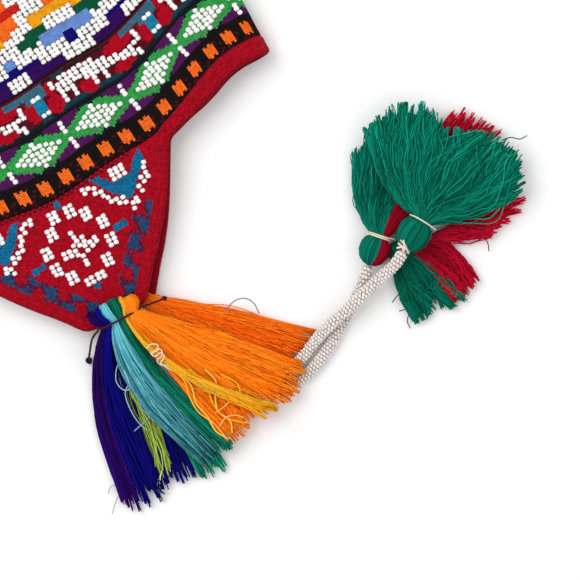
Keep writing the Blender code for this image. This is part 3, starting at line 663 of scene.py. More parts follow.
def knit_spots(place, cells):
    """Spots for beads from stitch and row middles, on the surface that place gives."""
    stitch, row = (np.array(v, dtype=float) for v in zip(*cells))
    middle = place(stitch, row, BEAD_INSET)
    across = unit_rows(place(stitch + 0.5, row, 0.0) - place(stitch - 0.5, row, 0.0))
    hole = unit_rows(place(stitch, row + 0.5, 0.0) - place(stitch, row - 0.5, 0.0))
    outward = np.cross(across, hole)
    outward = unit_rows(outward * np.where(outward[:, 2:] < 0, -1, 1))
    return [(m, (a, h, o)) for m, a, h, o in zip(middle, across, hole, outward)]


def columns_between(start, pitch):
    """Starts of the repeats that reach the front layer."""
    return [start + pitch * n for n in range(-8, 9) if -HALF_FRONT - pitch < start + pitch * n < HALF_FRONT]


band_cells = {"lozenge_beads": [], "animal_beads": [], "bird_beads_lower": [], "bird_beads_upper": []}
middle_row = LOZENGE_FIRST_ROW + LOZENGE_MIDDLE
for start in columns_between(LOZENGE_START, LOZENGE_PITCH):
    for step in (-3, -2, -1, 1, 2, 3):
        band_cells["lozenge_beads"].append((start + 1 - 0.18 * step, middle_row + BETWEEN_BEAD_RISE * step))
    for cell, count in LOZENGE_BEADS.items():
        for k in range(count):
            step = k - (count - 1) / 2
            band_cells["lozenge_beads"].append(
                (start + 2 * cell + 1 - 0.2 * step, middle_row + LOZENGE_BEAD_RISE * step))
for start in columns_between(ANIMAL_START, ANIMAL_PITCH):
    for cell, levels in ANIMAL_BEADS.items():
        for level in levels:
            band_cells["animal_beads"].append(
                (start + 2 * cell + 1 - 0.1 * (level - 3), ANIMAL_FIRST_ROW + 2 * level + 1.2))
for stitch in range(-HALF_FRONT, HALF_FRONT, 2):
    for level in range(2 * BIRD_LEVELS):
        row = BIRD_FIRST_ROW + 2 * level
        if bird_letter(stitch, row) == "W":
            half = "bird_beads_lower" if level < BIRD_LEVELS else "bird_beads_upper"
            band_cells[half].append((stitch + 1, row + 1))
for number, (name, cells) in enumerate(band_cells.items()):
    cells = [c for c in cells if abs(c[0]) < HALF_FRONT - 1.5]
    points, faces, tones = bead_field(knit_spots(front_place, cells), BEAD_PROFILE, 1.02, 11 + number)
    beads = make_piece(name, points, faces, glass, point_dyes=tones)
    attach(beads, "root")
    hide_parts("crown")

# Ear flaps.
# Two knitted flaps hang from the rim, one lying on the other: red wool with blue hearts, a ring of
# bead clusters round a small bead star, and bead zigzags. The lower one shows only at its edges.
FLAP_LENGTH = 58.5
FLAP_HALF_WIDTH = 61.5
FLAP_TIP_HALF = 15.0
FLAP_BULGE = 3.0
FLAP_TIP_ROUND = 3.0
FLAP_DROOP = 3.5
BACK_SKEW = 4.0
RIM_SEAM = 1.0
FLAP_STITCHES = 41
FLAP_ROWS = 52
FLAP_FALL_ROWS = 49
UNDER_SIDE, UNDER_TIP = 0.7, 0.8
WALL = 4.0
BLUE_HEART = ((19.6, -0.2), (25, -0.2), (30.4, -6.4), (39.9, -6.4), (46.6, 0.6), (50.7, 3.0), (50.7, -3.7),
              (43.9, -9.1), (35.2, -18.6), (27, -10.5))
BLUE_TOP_SPOKE = ((-1.8, -1.4), (1.8, -1.4), (1.0, -6.6), (-1.0, -6.6))
BLUE_SIDE_SPOKE = ((20.0, -25.6), (27.8, -26.0), (27.8, -29.2), (20.0, -29.0))
BLUE_FOOT_SPOKE = ((-3.4, -48.2), (1.0, -48.2), (-1.2, -52.0))
MOTTLED_WIDTH, MOTTLED_TOP = 11.5, -22.0
FLAP_CLUSTERS = ((-4.5, -8.6), (4.2, -9.4), (10.7, -14.4), (16.6, -21.7), (16.2, -31.8), (9.8, -39.9),
                 (-10.5, -39.6), (-15.7, -32.7), (-16.1, -23.3), (-9.3, -15.8))
FLAP_STAR = ((-0.6, -19.6), (-0.2, -22.0), (0.2, -24.4), (0.7, -26.7), (3.4, -23.6), (3.4, -26.0),
             (3.2, -28.5), (3.0, -31.0), (-2.4, -26.0), (-2.8, -28.5), (-2.4, -31.0), (-0.4, -32.6),
             (-0.6, -34.9), (-0.6, -37.0), (-5.9, -27.4), (-5.7, -30.0), (-8.8, -27.2), (-8.8, -29.7),
             (6.1, -27.6), (6.2, -30.0), (9.0, -26.6), (9.2, -29.0))
FLAP_ZIGZAG = ((14.9, -2.9), (15.2, -5.4), (18.1, -4.0), (20.5, -5.1), (20.0, -7.8), (23.0, -8.1),
               (23.3, -10.6), (24.9, -12.4), (25.2, -14.9), (28.1, -15.0), (28.7, -17.5), (31.4, -16.0),
               (31.8, -18.6), (34.8, -20.6), (34.2, -23.3), (37.2, -18.9), (37.6, -21.4), (41.2, -14.6),
               (41.6, -17.2), (44.0, -10.9), (44.6, -13.5), (47.4, -10.0), (47.8, -12.5), (47.6, -7.4),
               (48.9, -4.8))
flap_along = np.linspace(0, 1, 60)


def flap_edge(along):
    """The flap's right edge, from the rim at 0 to the tip at 1."""
    start = np.array((FLAP_HALF_WIDTH, float(rim_rise(FLAP_HALF_WIDTH)) - RIM_SEAM))
    end = np.array((FLAP_TIP_HALF, -FLAP_LENGTH))
    run = end - start
    outward = np.array((-run[1], run[0])) / np.hypot(*run)
    return start + run * along + outward * FLAP_BULGE * math.sin(math.pi * along)


flap_edges = np.array([flap_edge(a) for a in flap_along])


def flap_place(x, y, front):
    """Sideways shift and the middle of the wall of a point of the flaps' flat plan."""
    down = ease(-y / FLAP_LENGTH)
    if front:
        return x, STACK - WALL / 2 - FLAP_DROOP * down
    return x + BACK_SKEW * down, np.full_like(down, WALL / 2)


def flap_surface(front, offset):
    """The place function of a flap's knit: stitches across, rows down from the rim."""
    def place(stitch, row, lift):
        x = STITCH * stitch
        fall = np.clip(row / FLAP_FALL_ROWS, 0, 1)
        y = rim_rise(x) * (1 - fall) - RIM_SEAM * 0.6 - ROW * row
        limit = np.interp(-y, -flap_edges[:, 1], flap_edges[:, 0])
        x = np.clip(x, -limit - UNDER_SIDE, limit + UNDER_SIDE)
        tip = -FLAP_LENGTH - UNDER_TIP - FLAP_TIP_ROUND * np.clip(1 - (x / FLAP_TIP_HALF) ** 6, 0, 1)
        y = np.maximum(y, tip)
        shifted, middle = flap_place(x, y, front)
        return np.stack([shifted, y, middle + offset + lift * (1 if offset > 0 else -1)], axis=-1)
    return place


def inside(x, y, outline):
    """Whether a point lies inside a closed outline."""
    found = False
    for (x1, y1), (x2, y2) in zip(outline, outline[1:] + outline[:1]):
        if (y1 > y) != (y2 > y) and x < (x2 - x1) * (y - y1) / (y2 - y1) + x1:
            found = not found
    return found


def flap_wool(stitch, row):
    """The wool of one stitch of a flap, row counted down from the rim."""
    x = STITCH * (stitch + 0.5)
    y = float(rim_rise(x)) * (1 - min(1, row / FLAP_FALL_ROWS)) - 0.6 - ROW * (row + 0.5)
    mirrored = -x - 1.0
    if inside(x, y, BLUE_HEART) or inside(mirrored, y + 1.2, BLUE_HEART) or inside(x, y, BLUE_TOP_SPOKE) \
            or inside(x, y, BLUE_SIDE_SPOKE) or inside(mirrored + 1, y + 0.8, BLUE_SIDE_SPOKE) \
            or inside(x, y, BLUE_FOOT_SPOKE):
        return "teal_dark"
    edge = float(np.interp(-y, -flap_edges[:, 1], flap_edges[:, 0]))
    if y < MOTTLED_TOP and edge - abs(x) < MOTTLED_WIDTH + math.sin(row * 2.1 + stitch):
        fleck = (stitch * stitch * 31 + row * row * 17 + stitch * row * 7) % 11 / 10 - 0.5
        worn = math.sin(x * 0.62 + y * 0.21) + math.sin(y * 0.47 - x * 0.29 + 1.7) + 0.9 * fleck
        return "faded_blue" if worn > 0.25 else "mulberry" if worn > -0.55 else "flap_red"
    if row < 2 and (stitch + row) % 2 and abs(x) < 45:
        return "maroon"
    return "flap_red"


WOOL["teal_dark"] = dye("126C98")
WOOL["flap_red"] = dye("AE061E")
WOOL["mulberry"] = dye("581C40")
WOOL["faded_blue"] = dye("28486E")
flap_finish = yarn_material("flap_knit_wool", 1.6, 0.8, 0.80, 0.5, 0.02, stitch=(STITCH, ROW, 1.1))
for name, front, parts in (("ear_flap_front_knit", True, 4), ("ear_flap_back_knit", False, 1)):
    patches = []
    for offset, detail in (((0.8 if front else 1.2), parts), (-1.6, 1)):
        points, faces, shades, places = knit_patch(
            flap_surface(front, offset), -FLAP_STITCHES, 2 * FLAP_STITCHES, 0, FLAP_ROWS, detail, flap_wool)
        if offset > 0:
            faces = faces[:, ::-1]
        span = points[faces].max(axis=1) - points[faces].min(axis=1)
        kept = (span[:, 0] > 0.05) & (span[:, 1] > 0.05)
        patches.append((points, faces[kept], shades[kept], places * (STITCH, ROW)))
    points, faces, shades, places = join_patches(patches)
    flap = make_piece(name, points, faces, flap_finish, face_dyes=shades, place=places)
    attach(flap, "root")
    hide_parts("ear_flap_front" if front else "ear_flap_back")

flap_beads = [(x + dx, y + dy) for x, y in FLAP_CLUSTERS for dx in (-1.45, 1.45) for dy in (-2.35, 0, 2.35)]
flap_beads += [(dx - 0.3, -45.3 + dy) for dx in (-4.6, -1.6, 1.6, 4.6) for dy in (-1.2, 1.2)]
flap_beads += [(34.8 + dx, -3.2 + dy) for dx in (-2.9, 0, 2.9) for dy in (-2.3, 0, 2.3)]
flap_beads += [(-36.0 + dx, -5.4 + dy) for dx in (-2.9, 0, 2.9) for dy in (-2.3, 0, 2.3)]
flap_beads += list(FLAP_STAR) + list(FLAP_ZIGZAG) + [(-x - 0.8, y - 0.9) for x, y in FLAP_ZIGZAG]
spots = []
for x, y in flap_beads:
    height = flap_place(x, y, True)[1] + 0.8 + FRONT_INSET * 0.3
    spots.append(((x, y, float(height)), ((1, 0, 0), (0.08, 0.996, 0.0), (0, 0, 1))))
points, faces, tones = bead_field(spots, BEAD_PROFILE, 1.0, 21)
beads = make_piece("ear_flap_beads", points, faces, glass, point_dyes=tones)
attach(beads, "root")
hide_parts("ear_flap_front")

# Edge binding.
# A crimson worked edge runs in one closed band round the rim and both flaps. Its rows lie along the
# edge, and wear has felted them together. It is joined to the knit all the way round.
BINDING_FLAP = 6.2
BINDING_FOREHEAD = 9.2
BINDING_CORNER = 9.0
EDGE_SEAM = 0.5
FOLD_STEPS = 6
BINDING_STEP = 0.9
BINDING_SIDES = 18
BINDING_ROWS = 3.0


def unit(vector):
    return vector / np.linalg.norm(vector)


def rounded_turn(before, corner, after, radius, steps=5):
    """Points of an arc that rounds a corner of a flat path."""
    into, out = unit(corner - before), unit(after - corner)
    turn = math.acos(float(np.clip(into @ out, -1, 1)))
    back = radius * math.tan(turn / 2)
    start, end = corner - into * back, corner + out * back
    shares = [i / steps for i in range(steps + 1)]
    return [mix(mix(start, corner, s), mix(corner, end, s), s) for s in shares]


def binding_quarter(skew):
    """Middle line of the binding from a flap's tip to the side fold, with its width at each point."""
    flap_off, forehead_off = EDGE_SEAM + BINDING_FLAP / 2, RIM_SEAM + BINDING_FOREHEAD / 2

    def skewed(along):
        edge = flap_edge(along)
        return edge + np.array((skew * float(ease(-edge[1] / FLAP_LENGTH)), 0))

    side = []
    for i in range(8):
        along = 1 - i / 7
        ahead = skewed(max(0, along - 0.02)) - skewed(min(1, along + 0.02))
        side.append(skewed(along) + unit(np.array((ahead[1], -ahead[0]))) * flap_off)
    forehead = []
    straight = CROWN_HALF_WIDTH - STACK / 2
    start = FLAP_HALF_WIDTH + BINDING_CORNER
    for i in range(8):
        x = mix(start, straight, i / 7)
        slope = float(rim_rise(x + 1) - rim_rise(x - 1)) / 2
        outward = unit(np.array((slope, -1))) * mix(flap_off, forehead_off, float(ease(i / 3)))
        point = np.array((x, float(rim_rise(x)))) + outward
        forehead.append(np.array((x, point[1])) if i == 7 else point)
    corner_side = mix(side[-2], side[-1], 0.9)
    ahead, level = unit(side[-1] - side[-3]), unit(forehead[1] - forehead[0])
    between = forehead[0] - corner_side
    cross = ahead[0] * level[1] - ahead[1] * level[0]
    corner = corner_side + ahead * ((between[0] * level[1] - between[1] * level[0]) / cross)
    tip = np.array((skew, -FLAP_LENGTH - FLAP_TIP_ROUND - flap_off))
    tip_corner = np.array((skew + (side[0][0] - skew) * 0.88, tip[1]))
    path = [tip] + rounded_turn(tip, tip_corner, side[1], BINDING_FLAP * 0.9, 4) + side[1:-2]
    path += rounded_turn(side[-3], corner, forehead[1], BINDING_CORNER)
    widths = [BINDING_FLAP] * len(path)
    for i, point in enumerate(forehead[1:], 1):
        path.append(point)
        widths.append(mix(BINDING_FLAP, BINDING_FOREHEAD, float(ease(i / 3))))
    return path, widths


def binding_stations():
    """Middle, outward normal and width at each station of the whole band."""
    straight = CROWN_HALF_WIDTH - STACK / 2
    stations = []

    def add_quarter(side, front, inward):
        path, widths = binding_quarter(0 if front else side * BACK_SKEW)
        line = [(side * p[0], p[1], float(flap_place(p[0], p[1], front)[1]), 0, 0, 1 if front else -1, w)
                for p, w in zip(path, widths)]
        stations.extend(line[:0:-1] if inward else line)
        return path[-1][1]

    def add_fold(side, edge):
        for i in range(1, FOLD_STEPS):
            turn = math.pi * i / FOLD_STEPS
            if side < 0:
                turn = math.pi - turn
            normal = (side * math.sin(turn), 0, math.cos(turn))
            reach = STACK / 2 - WALL / 2
            stations.append((side * straight + normal[0] * reach, edge, STACK / 2 + normal[2] * reach,
                             *normal, BINDING_FOREHEAD))

    edge = add_quarter(1, True, False)
    add_fold(1, edge)
    add_quarter(1, False, True)
    add_quarter(-1, False, False)
    add_fold(-1, edge)
    add_quarter(-1, True, True)
    return np.array(stations)


def resample_loop(rows, step):
    """Rows of a closed loop at an even step, along a smooth curve through them."""
    before, after, beyond = np.roll(rows, 1, 0), np.roll(rows, -1, 0), np.roll(rows, -2, 0)
    dense = []
    for t in np.linspace(0, 1, 12, endpoint=False):
        dense.append(0.5 * (2 * rows + (after - before) * t
                            + (2 * before - 5 * rows + 4 * after - beyond) * t ** 2
                            + (3 * rows - before - 3 * after + beyond) * t ** 3))
    dense = np.stack(dense, axis=1).reshape(-1, rows.shape[1])
    closed = np.vstack([dense, dense[:1]])
    run = np.concatenate([[0], np.cumsum(np.linalg.norm(np.diff(closed[:, :3], axis=0), axis=1))])
    wanted = np.linspace(0, run[-1], int(run[-1] / step), endpoint=False)
    return np.stack([np.interp(wanted, run, closed[:, k]) for k in range(rows.shape[1])], axis=1), wanted


binding_rows, binding_run = resample_loop(binding_stations(), BINDING_STEP)
centre, normal, width = binding_rows[:, :3], binding_rows[:, 3:6], binding_rows[:, 6:7]
normal = unit_rows(normal)
ahead = unit_rows(np.roll(centre, -1, 0) - np.roll(centre, 1, 0))
outward = unit_rows(np.cross(ahead, normal))
turn = 2 * math.pi * np.arange(BINDING_SIDES) / BINDING_SIDES
side_reach = np.sign(np.cos(turn)) * np.abs(np.cos(turn)) ** 0.75
up_reach = np.sign(np.sin(turn)) * np.abs(np.sin(turn)) ** 0.55
rng = np.random.default_rng(5)
felt = rng.normal(0, 1, (len(centre), BINDING_SIDES))
for _ in range(2):
    felt = (felt + np.roll(felt, 1, 0) + np.roll(felt, -1, 0)
            + np.roll(felt, 1, 1) + np.roll(felt, -1, 1)) / 3.2
groove = 0.14 * np.cos(side_reach[None, :] * math.pi * BINDING_ROWS)
worked = 0.10 * np.sin(binding_run[:, None] * 2 * math.pi / 2.7 + side_reach[None, :] * 2.0)
puff = groove + worked * np.abs(up_reach)[None, :] + 0.07 * felt
half_thick = WALL / 2 - 0.25
seam = mix(EDGE_SEAM, RIM_SEAM, (width - BINDING_FLAP) / (BINDING_FOREHEAD - BINDING_FLAP)) + 0.4
half_width = np.where(side_reach[None, :] < 0, width / 2 + seam, width / 2 - 0.1)
points = centre[:, None] + outward[:, None] * (side_reach[None, :] * half_width)[:, :, None] \
    + normal[:, None] * (up_reach[None, :, None] * (half_thick + puff[:, :, None]))
points[:, :, 2] = np.maximum(points[:, :, 2], 0.05)
count = len(centre)
station, side = np.meshgrid(np.arange(count), np.arange(BINDING_SIDES), indexing="ij")
next_station, next_side = (station + 1) % count, (side + 1) % BINDING_SIDES
faces = np.stack([station * BINDING_SIDES + side, next_station * BINDING_SIDES + side,
                  next_station * BINDING_SIDES + next_side, station * BINDING_SIDES + next_side],
                 axis=-1).reshape(-1, 4)
red = np.array(dye("B2041E"))
# The dark maroon is painted shade: the binding's outer edge and its seam side are blended towards it, for
# the shade on the rolled outer edge and in the crease at the seam, with a little random felt mottle.
dark = np.array(dye("5E0712"))
painted_edge_shade = ease((side_reach[None, :] - 0.55) / 0.45) * 0.55 \
    + ease((-side_reach[None, :] - 0.75) / 0.25) * 0.4
painted_edge_shade = np.clip(painted_edge_shade + 0.12 * felt, 0, 1)[:, :, None]
shades = red * (1 - painted_edge_shade) + dark * painted_edge_shade
places = np.stack([np.repeat(binding_run[:, None], BINDING_SIDES, axis=1),
                   side_reach[None, :] * width / 2], axis=-1).reshape(-1, 2)
binding_finish = yarn_material("binding_wool", 0.9, 0.55, 0.85, 0.8, 0.02, stitch=(2.0, 1.9, 0.6))
binding = make_piece("edge_binding_wool", points.reshape(-1, 3), faces, binding_finish,
                     point_dyes=shades.reshape(-1, 3), place=places)
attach(binding, "root")
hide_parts("edge_binding")

# Yarn tassels.
# Hanks of soft acrylic yarn, one colour each, are folded over at the head, tied at the neck and cut
# at the foot. Two hang from the flap tips, and three bunches with round heads end the straps.
NECK_SHARE = 0.62
DOWN_BY = 0.34
TIP_PULL = 0.88
TIP_Y = -(FLAP_LENGTH + FLAP_TIP_ROUND + EDGE_SEAM + BINDING_FLAP)
YARN_SIDES = 3
YARN_RADIUS = 0.37
HEAD_STEPS = (0.0, 0.16, 0.36, 0.58, 0.80, 0.95, 1.0)
HEAD_BACK_STEPS = (1.0, 0.86, 0.5, 0.0)
RUN_STEPS = 19
UNDER_STEPS = 4
CLUMP = 6
CORE_LINES = 20
LOBE_SWELL = 1.16
CLUMP_PULL = 0.30
STRAY_SHARE, STRAY_GAIN = 0.10, 2.6
BALL_ARC, LOCK_ARC = 2.2, 0.9
CORE_REACH = (0.84, 0.92)
FLOOR_GAP = 0.4
NECK_PINCH = 0.95
# name: place, turn, neck height, neck width, head width, lobe length, lobe height, yarn length,
# lock height, and whether the head is one round ball
TASSELS = {
    "front_tassel": ((1.5, TIP_Y - 1.2), 0.0, 13.8, 21.0, 28.0, 10.5, 7.8, 99.0, 4.8, False),
    "back_tassel": ((8.0, TIP_Y - 0.4), 0.0, 4.3, 32.0, 32.0, 10.5, 4.6, 99.0, 5.2, False),
    "left_end_tassel": ((136.5, -94.5), 131.6, 1.5, 10.0, 15.5, 15.0, 11.8, 68.0, 7.2, True),
    "upper_end_tassel": ((159.0, -97.3), 121.0, 8.2, 11.0, 16.8, 17.2, 12.0, 66.0, 7.0, True),
    "lower_end_tassel": ((147.0, -106.7), 6.0, 0.4, 20.0, 20.0, 7.0, 6.8, 58.0, 5.6, False),
}
# tassel, colour: side from and to as shares of the neck width, lean from and to, bow from and to, reach,
# locks, rest height, strands, size of their waves, and the dyes that they are drawn from
HANKS = (
    ("front_tassel", "purple", -0.50, -0.36, -22, -17.5, -30, -26, 0.98, 2, 0.4, 56, 0.6,
     ("2E0672", "240458")),
    ("front_tassel", "navy", -0.36, -0.22, -17.5, -10.5, -26, -24, 0.97, 2, 0.4, 66, 0.6,
     ("0C0A8A", "06066C")),
    ("front_tassel", "sky", -0.22, -0.06, 4, 10, -38, -14, 0.90, 3, 6.1, 66, 1.1,
     ("62C6D6", "48A6BC", "86DAE4")),
    ("front_tassel", "green", -0.06, 0.10, 10, 12.3, -14, -14, 0.90, 2, 6.1, 50, 0.8,
     ("0B7A62", "09684F", "0E8A70")),
    ("front_tassel", "yellow", 0.10, 0.18, 27, 31, -28, -33, 0.93, 1, 12.1, 36, 1.2,
     ("FFBE1C", "FFC83A", "FFAA14")),
    ("front_tassel", "orange", 0.14, 0.51, 9.5, 45, 0, 0, 0.90, 4, 6.9, 280, 1.5,
     ("FF8414", "FF7A0C", "FF941E")),
    ("back_tassel", "lime", -0.52, -0.42, -7.6, -4.2, 9, 6, 0.86, 2, 1.4, 40, 1.8,
     ("98B040", "6E8832", "B8D05C")),
    ("back_tassel", "navy", -0.53, -0.32, -13.5, 0, 6, 3, 0.93, 3, 0.4, 84, 0.8, ("08085E", "0A0A78")),
    ("back_tassel", "green", -0.32, -0.22, 0.3, 8, 3, 0, 0.97, 3, 0.4, 66, 1.0,
     ("0A6E58", "0C7E64", "12A07C")),
    ("back_tassel", "orange", 0.13, 0.50, 35, 50, 0, 3, 0.86, 4, 0.4, 150, 1.4,
     ("FF7410", "FC680A", "FF801A")),
    ("left_end_tassel", "green", -0.14, 0.50, -2.6, 28.4, 4, 26, 0.86, 4, 0.4, 200, 1.7,
     ("027E68", "048E74", "026450")),
    ("left_end_tassel", "red", -0.50, -0.14, -26, -10, 12, 10, 1.17, 2, 0.4, 90, 1.6,
     ("C80C30", "B00A28")),
    ("upper_end_tassel", "green", -0.50, 0.50, -40, 58, -8, 28, 0.89, 6, 9.0, 470, 1.8,
     ("02826A", "06967A", "02644E")),
    ("lower_end_tassel", "green", -0.50, 0.07, -14, 17, -20, 6, 0.64, 4, 0.4, 130, 1.6,
     ("02725C", "047C64", "025C48")),
    ("lower_end_tassel", "crimson", -0.03, 0.30, 7, 25, 2, 64, 0.66, 2, 0.4, 100, 1.5,
     ("C00A2C", "A80824")),
    ("lower_end_tassel", "red", 0.25, 0.50, 60, 80, 4, 0, 0.86, 2, 0.4, 100, 1.6,
     ("C80C30", "AE0A2A", "D41438")),
)


# How far the cut ends of some hanks reach, as factors at shares of their width
OUTLINES = {
    "upper_end_tassel_green": ((0, 0.84), (0.08, 0.96), (0.14, 1.02), (0.24, 1.06), (0.30, 1.04),
                               (0.36, 0.98), (0.46, 0.89), (0.56, 0.88), (0.62, 0.96), (0.72, 1.03),
                               (0.85, 1.0), (1, 0.88)),
    "left_end_tassel_green": ((0, 1), (0.6, 1.0), (0.8, 0.93), (0.92, 0.82), (1, 0.70)),
    "left_end_tassel_red": ((0, 1.06), (0.5, 1.03), (1, 0.97)),
    "lower_end_tassel_green": ((0, 0.95), (0.25, 1.0), (0.4, 0.86), (0.52, 0.84), (0.62, 1.05),
                               (0.85, 1.1), (1, 1.02)),
    "front_tassel_orange": ((0, 0.96), (0.3, 0.96), (0.5, 1.0), (0.7, 1.05), (0.9, 1.04), (1, 1.0)),
    "lower_end_tassel_red": ((0, 0.74), (0.3, 0.90), (0.6, 0.98), (0.9, 1.14), (1, 1.1)),
}


# Light and shade painted along some hanks: the shares of their dyes at the neck and at the foot, which each
# strand blends between
PAINTED_NECK_AND_FOOT_LIGHT = {
    "front_tassel_sky": ((1.0, 1.0, 1.0), (0.12, 0.24, 0.20)),
    "front_tassel_orange": ((1.05, 1.05, 1.0), (1.05, 1.05, 1.0)),
    "back_tassel_orange": ((1.0, 1.0, 1.0), (1.0, 1.0, 1.0)),
    "front_tassel_yellow": ((1.0, 1.0, 1.0), (1.05, 1.0, 1.0)),
    "front_tassel_navy": ((1.0, 1.0, 1.0), (0.9, 0.9, 0.9)),
}


# Lobes that don't fill their share of the head: width and length as factors, and a shift sideways
LOBES = {
    "front_tassel_sky": (1.2, 1.02, -0.7), "front_tassel_green": (1.6, 1.04, 0.0),
    "front_tassel_yellow": (1.2, 0.95, 1.2), "front_tassel_orange": (0.74, 0.80, -0.9),
    "back_tassel_orange": (0.62, 0.72, -2.6), "back_tassel_navy": (0.5, 0.4, 4.0),
}


def tassel_to_hat(points, place, turn):
    """Turns a tassel's own points about Z and moves them to its neck."""
    c, s = math.cos(math.radians(turn)), math.sin(math.radians(turn))
    x, y, z = points[..., 0], points[..., 1], points[..., 2]
    return np.stack([x * c - y * s + place[0], x * s + y * c + place[1], z], axis=-1)


def hank_strands(tassel, hank, rng, core=0):
    """Points of every strand of a hank: up the underside, over the head and down the upper side.
    With core they are that many plain lines inside the hank, evenly spaced."""
    (place, turn, neck_height, neck_width, head_width, lobe_length, lobe_height, yarn_length,
     lock_height, ball) = tassel
    (_, _, side_from, side_to, lean_from, lean_to, bow_from, bow_to, reach, locks, rest, count,
     waves, _) = hank
    if core:
        count, waves = core, 0.0
    share = (np.arange(count) + rng.uniform(0.1, 0.9, count)) / count
    clumps = max(2, count // CLUMP)
    clump = np.minimum((share * clumps).astype(int), clumps - 1)
    depth = 1 - 0.7 * rng.uniform(0, 1, count) ** 1.4
    locks_of_clumps = max(2, count // (3 * CLUMP))
    bunch = np.minimum((share * locks_of_clumps).astype(int), locks_of_clumps - 1)
    sunk = rng.uniform(0.0, 0.35, clumps)[clump] + rng.uniform(0.0, 0.35, locks_of_clumps)[bunch]
    length = (1 - 0.10 * rng.uniform(0, 1, count) ** 2) * (1 - rng.uniform(0, 0.08, clumps))[clump]
    name = f"{hank[0]}_{hank[1]}"
    outline = list(zip(*OUTLINES.get(name, ((0, 1), (1, 1)))))
    length *= np.interp(share, *outline)
    pull = CLUMP_PULL
    if core:
        share, depth, sunk, pull = np.linspace(0.04, 0.96, core), np.full(core, 0.55), 0.1, 0.0
        length = rng.uniform(*CORE_REACH, core) * np.interp(share, *outline)
    clump_middle = (clump + 0.5) / clumps
    lock = np.minimum(np.floor(share * locks), locks - 1)
    centre = (lock + 0.5) / locks
    run_up = np.linspace(1, 0.0, UNDER_STEPS)
    run_down = np.linspace(0.0, 1, RUN_STEPS)
    steps = ([(-1, r, 0.0) for r in run_up] + [(-1, 0.0, h) for h in HEAD_BACK_STEPS[::-1][1:]]
             + [(1, 0.0, h) for h in HEAD_STEPS[::-1]] + [(1, r, 0.0) for r in run_down[1:]])
    wave_size = waves * (rng.uniform(0.2, 1.0, clumps)[clump] + rng.uniform(-0.15, 0.35, count))
    wave_turn = rng.uniform(0, 2 * math.pi, (clumps, 3))[clump] + rng.normal(0, 0.5, (count, 3))
    wave_rate = rng.uniform(0.9, 2.4, clumps)[clump] * rng.uniform(0.93, 1.07, count)
    curl = waves * (rng.normal(0, 1.3, clumps)[clump] + rng.normal(0, 0.9, count))
    stray = np.where(rng.uniform(0, 1, count) < STRAY_SHARE, STRAY_GAIN, 1.0)
    arc = waves * (BALL_ARC if ball else LOCK_ARC) * (
        rng.normal(0, 1.0, locks_of_clumps)[bunch] + rng.normal(0, 0.8, clumps)[clump]
        + rng.normal(0, 0.5, count)) * stray
    inner = np.clip(1.0 - np.abs(2 * share - 1) ** 1.3, 0.02, 1)
    arc, curl, wave_size = arc * inner, curl * (0.3 + 0.7 * inner), wave_size * (0.4 + 0.6 * inner)
    neck_middle = neck_height + lobe_height / 2
    rows = []
    for level, along, head in steps:
        run = along * length
        gather = ease((along - 0.35) / 0.65)
        eased = mix(share, centre + (share - centre) * TIP_PULL, 0 if ball else gather)
        eased = mix(eased, clump_middle, pull * gather)
        side = mix(side_from, side_to, eased) * neck_width
        lean = mix(lean_from, lean_to, eased)
        bow = mix(bow_from, bow_to, eased)
        angle = np.radians(lean + bow * np.clip(1 - run, 0, 1) ** 1.5)
        distance = run * yarn_length * reach
        x = side + distance * np.sin(angle)
        y = -distance * np.cos(angle)
        down = ease(run / DOWN_BY)
        at_head = head * (0.4 + 0.6 * depth)
        spread = ease(at_head / 0.5)
        round_off = np.sqrt(np.clip(1 - np.clip((head - 0.55) / 0.46, 0, None) ** 2, 0, 1))
        if ball:
            off_middle = 2 * head - 1
            round_off = math.sqrt(max(0.0, 1 - off_middle * off_middle * (1.0 if head > 0.5 else 0.62)))
            tall = mix(lobe_height * round_off, lock_height, down)
        else:
            tall = mix(lobe_height * mix(NECK_SHARE, 1.0, spread) * round_off, lock_height, down)
        middle = mix(neck_middle, rest + lock_height / 2, down)
        if head > 0:
            lobe_wide, lobe_long, lobe_shift = LOBES.get(name, (1.0, 1.0, 0.0))
            y = at_head * lobe_length * lobe_long
            wide = mix(x, x * head_width / neck_width, spread)
            heart = (side_from + side_to) / 2 * mix(neck_width, head_width, spread)
            x = side * head_width / neck_width * round_off if ball else \
                heart + lobe_shift * spread + (wide - heart) * (0.35 + 0.65 * round_off) * mix(
                    1.0, LOBE_SWELL * lobe_wide, spread)
        elif ball:
            x = x * mix(0.8, 1.0, ease(run / 0.12))
        edge_fall = np.sqrt(np.clip(1 - (2 * share - 1) ** 4, 0.05, 1)) if not ball else \
            np.sqrt(np.clip(1 - ((side_from + (side_to - side_from) * share) * 2) ** 2, 0.02, 1))
        z = middle + level * (depth - sunk * ease((run - 0.15) / 0.3)) * edge_fall * (tall / 2 - 0.3) \
            * (1 - (ease((run - 0.3) / 0.4) if core else 0.0))
        phase = wave_turn[:, 0] + wave_rate * run * 2 * math.pi if not core else 0.0
        if not core:
            sway = wave_size * ease((run - 0.05) / 0.4) * np.sin(phase) + curl * run ** 3
            sway = sway + 0.3 * waves * ease(run / 0.3) * np.sin(wave_turn[:, 2] * 3 + phase * 2.3)
            sway = sway + arc * np.sin(math.pi * run) ** 2
            x = x + sway * np.cos(angle)
            y = y + sway * np.sin(angle)
            z = z + 0.35 * wave_size * ease(run / 0.6) * np.sin(phase + wave_turn[:, 1])
        rows.append(np.stack([x, y, np.maximum(z, FLOOR_GAP)], axis=-1))
    return tassel_to_hat(np.stack(rows, axis=1), place, turn)


